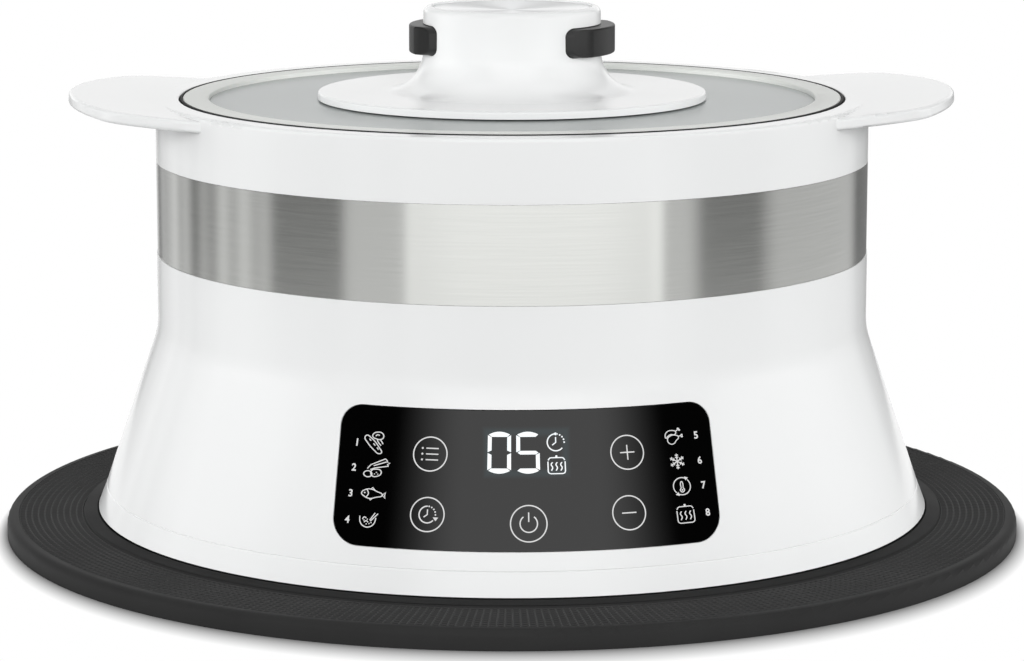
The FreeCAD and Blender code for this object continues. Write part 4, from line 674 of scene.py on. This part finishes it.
def add_spline(curve, points, smooth=False, closed=False):
    """Spline through points in millimetres, smooth or with straight runs."""
    spline = curve.splines.new("BEZIER")
    spline.bezier_points.add(len(points) - 1)
    for knot, (x, y) in zip(spline.bezier_points, points):
        knot.co = (x * MM, y * MM, 0)
        knot.handle_left_type = knot.handle_right_type = "AUTO" if smooth else "VECTOR"
    spline.use_cyclic_u = closed
    spline.resolution_u = 5 if smooth else 1


def curve_mesh(name, curve):
    """Mesh object from a curve."""
    holder = bpy.data.objects.new(name, curve)
    bpy.context.collection.objects.link(holder)
    select_only(holder)
    bpy.ops.object.convert(target="MESH")
    return bpy.context.object


def draw(name, lines=(), loops=(), bends=(), fills=(), width=LINE):
    """Flat drawing: straight lines, smooth closed loops, smooth open bends and filled outlines."""
    parts = []
    if lines or loops or bends:
        curve = bpy.data.curves.new(name, "CURVE")
        curve.dimensions = "3D"
        curve.bevel_depth = width / 2 * MM
        curve.bevel_resolution = 1
        curve.use_fill_caps = True
        for points in lines:
            add_spline(curve, points)
        for points in bends:
            add_spline(curve, points, smooth=True)
        for points in loops:
            add_spline(curve, points, smooth=True, closed=True)
        part = curve_mesh(name, curve)
        for vertex in part.data.vertices:
            vertex.co.z *= LINE_FLATNESS
        parts.append(part)
    if fills:
        curve = bpy.data.curves.new(f"{name}_fill", "CURVE")
        curve.dimensions = "2D"
        curve.fill_mode = "BOTH"
        curve.extrude = PRINT_DEPTH * MM
        for points in fills:
            add_spline(curve, points, closed=True)
        parts.append(curve_mesh(f"{name}_fill", curve))
    select_only(parts[0])
    for part in parts[1:]:
        part.select_set(True)
    if len(parts) > 1:
        bpy.ops.object.join()
    return parts[0]


def split_columns(piece, step):
    """Cut a flat drawing into upright columns, so that it can bend round the panel."""
    across = [vertex.co.x for vertex in piece.data.vertices]
    select_only(piece)
    bpy.ops.object.mode_set(mode="EDIT")
    place = min(across) + step * MM
    while place < max(across):
        bpy.ops.mesh.select_all(action="SELECT")
        bpy.ops.mesh.bisect(plane_co=(place, 0, 0), plane_no=(1, 0, 0))
        place += step * MM
    bpy.ops.object.mode_set(mode="OBJECT")


def fit(piece, width, height):
    """Centre a drawing and scale it to a width and height in mm.  A width of 0 keeps its proportions."""
    corners = [[vertex.co[axis] for vertex in piece.data.vertices] for axis in (0, 1)]
    middle = [(max(line) + min(line)) / 2 for line in corners]
    reach = [(max(line) - min(line)) / MM for line in corners]
    tall = height / reach[1]
    wide = width / reach[0] if width else tall
    for vertex in piece.data.vertices:
        vertex.co.x = (vertex.co.x - middle[0]) * wide
        vertex.co.y = (vertex.co.y - middle[1]) * tall
    return piece


def print_on_panel(piece, azimuth, height, material):
    """Finish a drawing and place it."""
    select_only(piece)
    bpy.ops.object.mode_set(mode="EDIT")
    bpy.ops.mesh.select_all(action="SELECT")
    bpy.ops.mesh.remove_doubles(threshold=MERGE * MM)
    bpy.ops.mesh.normals_make_consistent(inside=False)
    bpy.ops.object.mode_set(mode="OBJECT")
    wrap_on_panel(piece, azimuth, height)
    adopt(piece, "control_panel", material)


# %% [markdown]
# The display shows two digits of seven segments.  The top and bottom segments swell outwards, the ends
# are mitred, and thin dark gaps part them.

# %% Digits
DIGIT_WIDTH, DIGIT_HEIGHT = 8.1, 14.5
BAR = 1.35                  # width of an upright segment
GAP = 0.16                  # between two segments
MITRE = 0.62                # from the middle of the digit to the end of an upright segment's inner side
SHOULDER, TOP_BAR = 1.0, 1.75               # from the top down to its corners, and to its inner side
CROWN_INSET, CROWN_LIFT, CROWN_STEPS = 0.35, 0.05, 6
INNER_SPREAD = 0.02         # by which the inner side of the top segment passes the upright ones
TIP = 0.45                  # from the side to the point of the middle segment
HALF_BAR = 0.47             # of the width of an upright segment
COLUMN = 1.2                # width of a flat strip of a digit


def digit_segments():
    """Outlines of the seven segments, with the origin in the middle of the digit."""
    wide, tall = DIGIT_WIDTH / 2, DIGIT_HEIGHT / 2
    shoulder, inner = tall - SHOULDER, tall - TOP_BAR
    reach = wide - CROWN_INSET
    crown = []
    for step in range(-CROWN_STEPS, CROWN_STEPS + 1):
        x = reach * step / CROWN_STEPS
        crown.append((x, shoulder + CROWN_LIFT + (tall - shoulder) * (1 - (x / reach) ** 2)))
    corner = wide - BAR + INNER_SPREAD
    top = [(-corner, inner)] + crown + [(corner, inner)]
    upright = [(wide, GAP), (wide, shoulder - GAP), (wide - BAR, inner - GAP), (wide - BAR, MITRE + GAP)]
    half_bar = BAR * HALF_BAR
    middle = [(-wide + TIP, 0), (-wide + BAR, half_bar), (wide - BAR, half_bar), (wide - TIP, 0),
              (wide - BAR, -half_bar), (-wide + BAR, -half_bar)]
    return {
        "top": top,
        "bottom": [(x, -y) for x, y in top],
        "upper_right": upright,
        "upper_left": [(-x, y) for x, y in upright],
        "lower_right": [(x, -y) for x, y in upright],
        "lower_left": [(-x, -y) for x, y in upright],
        "middle": middle,
    }


LIT = {
    "0": ("top", "bottom", "upper_left", "upper_right", "lower_left", "lower_right"),
    "5": ("top", "upper_left", "middle", "lower_right", "bottom"),
}
DIGIT_PLACES = {"0": -3.96, "5": 0.02}
DIGIT_Z = 56.8
segments = digit_segments()
for figure, azimuth in DIGIT_PLACES.items():
    piece = draw(f"digit_{figure}", fills=[segments[name] for name in LIT[figure]])
    split_columns(piece, COLUMN)
    print_on_panel(piece, azimuth, DIGIT_Z, lit_digits)
print(f"digits: {DIGIT_WIDTH} x {DIGIT_HEIGHT} mm")

# %% [markdown]
# Five touch keys surround the digits: a list, a clock, plus, minus and the start key.  Each is a ring
# with a plain symbol inside.

# %% Touch keys
KEY_RADIUS, START_RADIUS = 5.92, 6.3
LIST_AZIMUTH, TIMER_AZIMUTH, PLUS_AZIMUTH, MINUS_AZIMUTH = -13.62, -13.47, 14.05, 13.52
KEY_UPPER_Z, KEY_LOWER_Z, START_Z = 55.8, 35.9, 33.5
KEY_STEPS = 32
LIST_ROWS = (2.0, 0.0, -2.0)
SIGN_ARM = 2.6              # half of a plus or minus sign
CLOCK_HANDS = ((0, 0.62), (0, 0), (-0.42, -0.32))       # in radii of the clock


def key(name, azimuth, height, radius=KEY_RADIUS, **symbol):
    """Ring with a symbol."""
    ring = arc(radius, 0, 360 - 360 / KEY_STEPS, KEY_STEPS)
    symbol["loops"] = list(symbol.get("loops", ())) + [ring]
    print_on_panel(draw(name, **symbol), azimuth, height, lit_symbols)


def clock_face(radius):
    """Open ring with a dotted quarter, and two hands."""
    dots = [dot(*arc(radius, turn, turn, 2)[0], 0.3) for turn in range(0, 84, 20)]
    hands = [(radius * x, radius * y) for x, y in CLOCK_HANDS]
    return {"bends": [arc(radius, 90, 318, 18)], "lines": [hands], "fills": dots}


list_rows = [[(-1.5, row), (2.9, row)] for row in LIST_ROWS]
list_dots = [dot(-2.8, row, 0.36) for row in LIST_ROWS]
minus = [(-SIGN_ARM, 0), (SIGN_ARM, 0)]
upright = [(0, -SIGN_ARM), (0, SIGN_ARM)]
key("key_list", LIST_AZIMUTH, KEY_UPPER_Z, lines=list_rows, fills=list_dots)
timer = clock_face(2.9)
timer["fills"] = timer["fills"] + [[(2.0, -0.9), (3.9, -0.9), (3.0, -2.2)]]
key("key_timer", TIMER_AZIMUTH, KEY_LOWER_Z, **timer)
key("key_plus", PLUS_AZIMUTH, KEY_UPPER_Z, lines=[minus, upright])
key("key_minus", MINUS_AZIMUTH, KEY_LOWER_Z, lines=[minus])
key("key_start", 0.0, START_Z, START_RADIUS, bends=[arc(3.0, 128, 412, 20)], lines=[[(0, 0.6), (0, 3.9)]])
print("five keys printed")


# %% [markdown]
# Beside the digits are a clock and a steaming pot.  Two columns at the ends of the panel number the eight
# programmes, each with a drawing of what it cooks: vegetables, roots, fish, a bowl of rice, poultry,
# frozen food, keeping warm and plain steaming.  The drawings are a few strokes each.

# %% Display symbols
def steaming_pot(size):
    """Pot with a lid, and three wisps inside."""
    half = size / 2
    corner, brim, knuckle = half * 0.35, half * 0.6, half * 0.3
    walls = [(-half, brim)]
    walls += arc(corner, 180, 270, 5, -half + corner, -half + corner)
    walls += arc(corner, 270, 360, 5, half - corner, -half + corner) + [(half, brim)]
    lid = [(-half, half * 0.86)] + arc(knuckle, 180, 90, 4, -half * 0.62, half * 0.8)
    lid += arc(knuckle, 90, 0, 4, half * 0.62, half * 0.8) + [(half, half * 0.86)]
    wisp = ((0.22, half * 0.5), (-0.24, half * 0.2), (0.24, -half * 0.2), (-0.22, -half * 0.6))
    wisps = [[(x + sway, y) for sway, y in wisp] for x in (-half * 0.55, 0.0, half * 0.55)]
    return {"lines": [walls, lid], "bends": wisps, "fills": [dot(0, half * 1.28, half * 0.14)]}


DISPLAY_AZIMUTH, CLOCK_Z, POT_Z = 3.95, 60.2, 52.7
DISPLAY_LINE, DISPLAY_SIZE = 0.42, (6.4, 6.6)
small_clock = clock_face(3.0)
small_clock["fills"] = small_clock["fills"] + [dot(0, 3.0, 0.5)]
piece = fit(draw("display_clock", width=DISPLAY_LINE, **small_clock), *DISPLAY_SIZE)
print_on_panel(piece, DISPLAY_AZIMUTH, CLOCK_Z, lit_digits)
piece = fit(draw("display_pot", width=DISPLAY_LINE, **steaming_pot(6.0)), *DISPLAY_SIZE)
print_on_panel(piece, DISPLAY_AZIMUTH, POT_Z, lit_digits)

# %% Programme symbols
SYMBOL_LINE = 0.36
vegetables = {
    "loops": [
        [(-3.5, 1.9), (-2.9, 2.7), (-1.6, 2.1), (1.9, -1.6),
         (2.6, -3.0), (1.6, -3.4), (0.4, -2.6), (-2.6, 0.4)],
        [(-0.9, 2.4), (-0.6, 3.5), (0.6, 4.0), (1.9, 3.9), (2.7, 3.1), (2.6, 2.0), (1.7, 1.5), (0.6, 1.6)],
    ],
    "bends": [[(0.7, 1.4), (1.2, 0.5), (2.2, -0.6)], [(1.8, 1.4), (2.3, 0.8), (2.8, 0.0)],
              [(0.1, 2.6), (0.7, 3.1), (1.4, 2.9)]],
    "lines": [[(-1.9, 1.5), (-1.3, 0.9)], [(-0.4, 0.0), (0.3, -0.7)], [(0.9, -1.3), (1.5, -2.0)]],
}
roots = {
    "loops": [
        [(-4.0, -2.4), (-3.2, -1.5), (-1.9, -1.6), (-1.3, -2.6), (-2.0, -3.5), (-3.4, -3.4)],
        [(-1.6, -1.3), (0.0, -0.6), (1.4, -1.0), (1.6, -2.2), (0.4, -3.2), (-1.1, -3.2)],
    ],
    "lines": [[(-3.0, -0.6), (-2.0, 0.9), (2.6, 3.4)], [(-2.0, -0.9), (-0.6, -0.2), (3.8, 0.8)],
              [(2.6, 3.4), (3.4, 2.6), (3.0, 2.3), (4.2, 1.9), (3.4, 1.4), (3.8, 0.8)],
              [(-1.0, 0.6), (3.0, 2.3)]],
    "fills": [dot(0.1, -1.8, 0.2), dot(0.6, -2.4, 0.2), dot(-0.5, -2.4, 0.2)],
}
fish = {
    "loops": [[(-4.1, 0.1), (-2.8, 1.5), (-0.9, 1.8), (1.2, 1.0),
               (3.1, -0.2), (1.0, -1.2), (-1.2, -1.8), (-3.0, -1.1)]],
    "lines": [[(3.1, -0.2), (4.2, 0.9), (3.9, -0.3), (4.2, -1.5), (3.1, -0.2)],
              [(-0.9, 1.8), (-0.4, 2.5), (0.5, 1.4)], [(-1.2, -1.8), (-0.8, -2.4), (-0.1, -1.6)]],
    "bends": [[(-2.3, 1.5), (-1.7, 0.1), (-2.3, -1.3)]],
    "fills": [dot(-3.0, 0.3, 0.28)],
}
bowl = {
    "bends": [[(-3.1, 1.2), (-2.7, -1.0), (-1.2, -2.4), (0.7, -2.5), (2.3, -1.3), (2.9, 0.9)],
              [(-2.0, 0.1), (-1.4, 0.9), (-0.6, 0.6)], [(-1.3, -0.9), (-0.5, -0.4), (0.2, -0.9)]],
    "lines": [[(0.7, -0.1), (2.4, 2.6)], [(1.0, -0.4), (3.5, 2.4)]],
    "fills": [dot(x, y, 0.22)
              for x, y in ((-1.4, -0.2), (-0.2, 0.2), (0.6, -1.3), (-0.4, -1.5), (1.3, -0.9))],
}
poultry = {
    "loops": [
        [(-3.3, 0.6), (-2.5, 2.1), (-0.7, 2.6), (0.9, 1.9),
         (0.4, 0.9), (-1.2, 1.0), (-2.5, 0.2), (-3.0, -0.3)],
        [(-2.6, -1.0), (-1.7, 0.3), (0.2, 0.7), (1.7, -0.2), (0.6, -1.6), (-0.4, -2.7), (-1.7, -2.7)],
    ],
    "lines": [[(0.8, 2.1), (1.7, 2.7)], [(1.6, 0.1), (2.7, 0.2)]],
    "fills": [dot(1.9, 3.1, 0.42), dot(2.3, 2.6, 0.42), dot(3.0, 0.5, 0.42), dot(3.0, -0.1, 0.42)],
}
ARM_LENGTH, BARB_PLACES = 2.8, (1.15, 1.95)
BARB_ALONG, BARB_ASIDE = 0.5, 0.55
snowflake_arms = []
for turn in range(0, 360, 60):
    along = Vector((cos(radians(turn + 90)), sin(radians(turn + 90))))
    aside = Vector((-along.y, along.x))
    snowflake_arms.append([(0, 0), tuple(along * ARM_LENGTH)])
    for fork in BARB_PLACES:
        barb, spread = along * (fork + BARB_ALONG), aside * BARB_ASIDE
        snowflake_arms.append([tuple(barb + spread), tuple(along * fork), tuple(barb - spread)])
snowflake = {"lines": snowflake_arms}
thermometer = {
    "bends": [arc(3.1, 55, 225, 14), arc(3.1, 235, 405, 14), arc(0.75, 118, 422, 12, 0, -1.35),
              [(-0.35, -0.7), (-0.36, 1.2), (0.0, 1.7), (0.36, 1.2), (0.35, -0.7)]],
    "fills": [[(1.2, 3.4), (2.6, 2.9), (1.6, 2.0)], [(-1.2, -3.4), (-2.6, -2.9), (-1.6, -2.0)],
              dot(0, -1.35, 0.34)],
}
programmes = {      # azimuth, height, width, height of the drawing, and the drawing
    "vegetables": (-22.0, 58.5, 7.4, 7.9, vegetables),
    "roots": (-21.1, 50.2, 9.7, 7.0, roots),
    "fish": (-21.2, 41.6, 9.2, 4.8, fish),
    "rice": (-21.5, 32.9, 7.0, 5.4, bowl),
    "poultry": (21.3, 59.9, 7.0, 5.8, poultry),
    "frozen": (21.3, 51.5, 5.3, 5.4, snowflake),
    "warm": (21.5, 43.2, 6.9, 6.6, thermometer),
    "steam": (21.5, 34.1, 6.9, 6.8, steaming_pot(5.8)),
}
for name, (azimuth, height, wide, tall, drawing) in programmes.items():
    piece = fit(draw(f"symbol_{name}", width=SYMBOL_LINE, **drawing), wide, tall)
    print_on_panel(piece, azimuth, height, lit_symbols)
print(f"{len(programmes)} programme symbols")

# %% Programme numbers
NUMBER_HEIGHT, NUMBER_DROP = 2.6, 0.3
TYPE_SIZE, TYPE_BOLDNESS = 4.0, 0.09
NUMBER_LEFT, NUMBER_RIGHT = -24.5, 24.8
for number, (azimuth, height, *_) in enumerate(programmes.values(), start=1):
    bpy.ops.object.select_all(action="DESELECT")
    bpy.ops.object.text_add(location=(0, 0, 0))
    text = bpy.context.object
    text.name = f"number_{number}"
    text.data.body = str(number)
    text.data.size = TYPE_SIZE * MM
    text.data.extrude = PRINT_DEPTH * MM
    text.data.offset = TYPE_BOLDNESS * MM
    bpy.ops.object.convert(target="MESH")
    piece = fit(bpy.context.object, 0, NUMBER_HEIGHT)
    column = NUMBER_LEFT if azimuth < 0 else NUMBER_RIGHT
    print_on_panel(piece, column, height - NUMBER_DROP, lit_symbols)
print("numbers 1 to 8 printed")

# %% [markdown]
# ## Studio
# A sheet of grey paper under the object keeps its contact shadow, and fades to plain white a little way
# out.  The grey band round the skirt is partly that rendered shadow and partly painted shadow: the
# paper's own grey, shown plain out to a reach that is wider in front than at the sides.  What shiny
# surfaces mirror matters as much as what lights them.  A wide softbox stands in front, paler strips
# stand at the sides with dark gaps between them, and a white wall is behind.  The brushed band shows
# them as bright and dark bars, and the panel shows the front one as a broad grey sheen.  Matt surfaces
# are lit by three lamps low round the object and by an even dome above them.  The lamps do not show in
# what shines.

# %% Floor
FLOOR_RADIUS, SKIRT_RADIUS = 0.5, 0.1939        # metres
SHADOW_SIDE, SHADOW_FRONT = 0.004, 0.019        # reach of the shadow past the skirt
SHADOW_FOCUS = 1.5                              # how quickly it narrows from the front to the side
bpy.ops.object.select_all(action="DESELECT")
bpy.ops.mesh.primitive_circle_add(vertices=96, radius=FLOOR_RADIUS, fill_type="NGON", location=(0, 0, 0))
floor = bpy.context.object
floor.name = "floor"
# painted shadow: the paper's grey shows plain near the skirt, and the rendered shadow falls on it too
paper, tree, shader = new_material("grey_paper_painted_shadow")
set_inputs(shader, Base_Color=linear("#9C9C9C"), Roughness=0.9, Specular_IOR_Level=0.0)
position = add_node(tree, "TexCoord").outputs["Object"]
distance = add_node(tree, "VectorMath", {"operation": "LENGTH"}, _0=position).outputs["Value"]
direction = add_node(tree, "VectorMath", {"operation": "NORMALIZE"}, _0=position)
depth = add_node(tree, "SeparateXYZ", Vector=direction.outputs[0])
facing = compute(tree, "MULTIPLY", depth.outputs["Y"], -1.0, clamp=True)
facing = compute(tree, "POWER", facing, SHADOW_FOCUS)
reach = add_node(tree, "MapRange", Value=facing, From_Min=0.0, From_Max=1.0,
                 To_Min=SKIRT_RADIUS + SHADOW_SIDE, To_Max=SKIRT_RADIUS + SHADOW_FRONT)
fade = add_node(tree, "MapRange", Value=distance, From_Min=SKIRT_RADIUS, From_Max=reach.outputs[0],
                To_Min=0.0, To_Max=1.0)
rays = add_node(tree, "LightPath")
seen = compute(tree, "ADD", rays.outputs["Is Camera Ray"], rays.outputs["Is Glossy Ray"], clamp=True)
seen = compute(tree, "ADD", seen, rays.outputs["Is Transmission Ray"], clamp=True)
factor = compute(tree, "MULTIPLY", seen, fade.outputs[0])
glow = add_node(tree, "Emission", Color=(1, 1, 1, 1), Strength=1.0)
mix = add_node(tree, "MixShader", _0=factor, _1=shader.outputs[0], _2=glow.outputs[0])
tree.links.new(mix.outputs[0], next(n for n in tree.nodes if n.type == "OUTPUT_MATERIAL").inputs["Surface"])
floor.data.materials.append(paper)

# %% World
FRONT_HIGH = (-27.8, 35.2, 12, 1.52)    # each light: from, to and softness in degrees, and brightness
LOW_LIGHTS = [
    (-35.5, 46, 2, 1.47),
    (-57, -35, 3, 0.85),
    (45, 59, 5, 0.85),
    (-112, -84, 6, 0.78),
    (-130, -112, 4, 0.4),
    (-147, -130, 4, 0.74),
    (-160, -147, 5, 0.55),
    (84, 142, 8, 0.7),
]
GAP_LEVEL = 0.21            # brightness between the lights
WALL_LOW = [(-200, -166, 4, 0.68), (168, 200, 4, 0.54)]
WALL_HIGH = [(-200, -150, 8, 0.95), (150, 200, 8, 0.95)]
SLATS, SLAT_PERIOD = (-144, -84, 4, 0.19), 11.0
LOW_TOP, WALL_STEP, CEILING, HORIZON = (0.12, 0.3), (0.0, 0.1), (0.75, 0.95), (-0.02, 0.04)     # heights
DOME_LOW, DOME_HIGH = 0.14, 0.4
world = bpy.data.worlds.new("studio")
bpy.context.scene.world = world
world.use_nodes = True
tree = world.node_tree
tree.nodes.clear()
parts = add_node(tree, "SeparateXYZ", Vector=add_node(tree, "TexCoord").outputs["Generated"])
forward = compute(tree, "MULTIPLY", parts.outputs["Y"], -1.0)
azimuth = compute(tree, "DEGREES", compute(tree, "ARCTAN2", parts.outputs["X"], forward))


def panel_light(low, high, soft, level):
    """Brightness of an upright light between two azimuths in degrees, with soft edges."""
    rise = soft_step(tree, azimuth, low - soft, low + soft, 0.0, level)
    fall = soft_step(tree, azimuth, high - soft, high + soft, 1.0, 0.0)
    return compute(tree, "MULTIPLY", rise, fall)


def together(lights):
    """Brightness of several upright lights."""
    total = 0.0
    for light in lights:
        total = compute(tree, "ADD", total, panel_light(*light))
    return total


def by_height(heights, below, above):
    """Blend two brightnesses between two heights of a direction, from -1 to 1."""
    return blend(tree, soft_step(tree, parts.outputs["Z"], *heights, 0.0, 1.0), below, above)


ripple = compute(tree, "SINE", compute(tree, "MULTIPLY", azimuth, 2 * pi / SLAT_PERIOD))
slats = compute(tree, "MULTIPLY", ripple, panel_light(*SLATS))
low_lights = compute(tree, "ADD", compute(tree, "MAXIMUM", together(LOW_LIGHTS), GAP_LEVEL), slats)
around_object = by_height(LOW_TOP, low_lights, panel_light(*FRONT_HIGH))
wall = by_height(WALL_STEP, together(WALL_LOW), together(WALL_HIGH))
studio = by_height(CEILING, compute(tree, "ADD", around_object, wall), 1.0)
dome = by_height(HORIZON, DOME_LOW, DOME_HIGH)
rays = add_node(tree, "LightPath")
studio = blend(tree, rays.outputs["Is Diffuse Ray"], studio, dome)
straight, through = rays.outputs["Is Camera Ray"], rays.outputs["Is Transmission Ray"]
backdrop = compute(tree, "ADD", straight, through, clamp=True)
strength = blend(tree, backdrop, studio, 1.0)
background = add_node(tree, "Background", Color=(1, 1, 1, 1), Strength=strength)
add_node(tree, "OutputWorld", Surface=background.outputs[0])

# %% Lamps
LAMP_TARGET = (0, 0, 0.08)
LAMPS = {       # width and height, power in watts, and place
    "left_fill": ((2.0, 0.8), 22.7, (-2.05, 0.25, 0.5)),
    "right_fill": ((2.0, 0.8), 23.0, (2.05, 0.05, 0.5)),
    "front_fill": ((2.2, 0.7), 35.0, (-0.2, -2.35, 0.85)),
}
for name, (size, power, place) in LAMPS.items():
    lamp = bpy.data.lights.new(name, "AREA")
    lamp.shape = "RECTANGLE"
    lamp.size, lamp.size_y = size
    lamp.energy = power
    holder = bpy.data.objects.new(name, lamp)
    bpy.context.collection.objects.link(holder)
    holder.location = place
    holder.rotation_euler = (Vector(LAMP_TARGET) - Vector(place)).to_track_quat("-Z", "Y").to_euler()
    holder.visible_glossy = False
print("studio: floor, world and three lamps")

# %% [markdown]
# ## Camera
# A long lens from a little over a metre away, looking down by about ten degrees.

# %% Camera
TURN, TILT = radians(2.2), radians(79.75)
DISTANCE, HEIGHT = 1.3326, 0.3149       # metres
SENSOR_WIDTH, FOCAL_LENGTH = 36.0, 123.8
camera = bpy.data.objects.new("camera", bpy.data.cameras.new("camera"))
bpy.context.collection.objects.link(camera)
camera.location = (-DISTANCE * sin(TURN), -DISTANCE * cos(TURN), HEIGHT)
camera.rotation_euler = (TILT, 0, -TURN)
camera.data.sensor_width = SENSOR_WIDTH
camera.data.lens = FOCAL_LENGTH
bpy.context.scene.camera = camera

# %% Colour management
bpy.context.scene.view_settings.view_transform = "Standard"
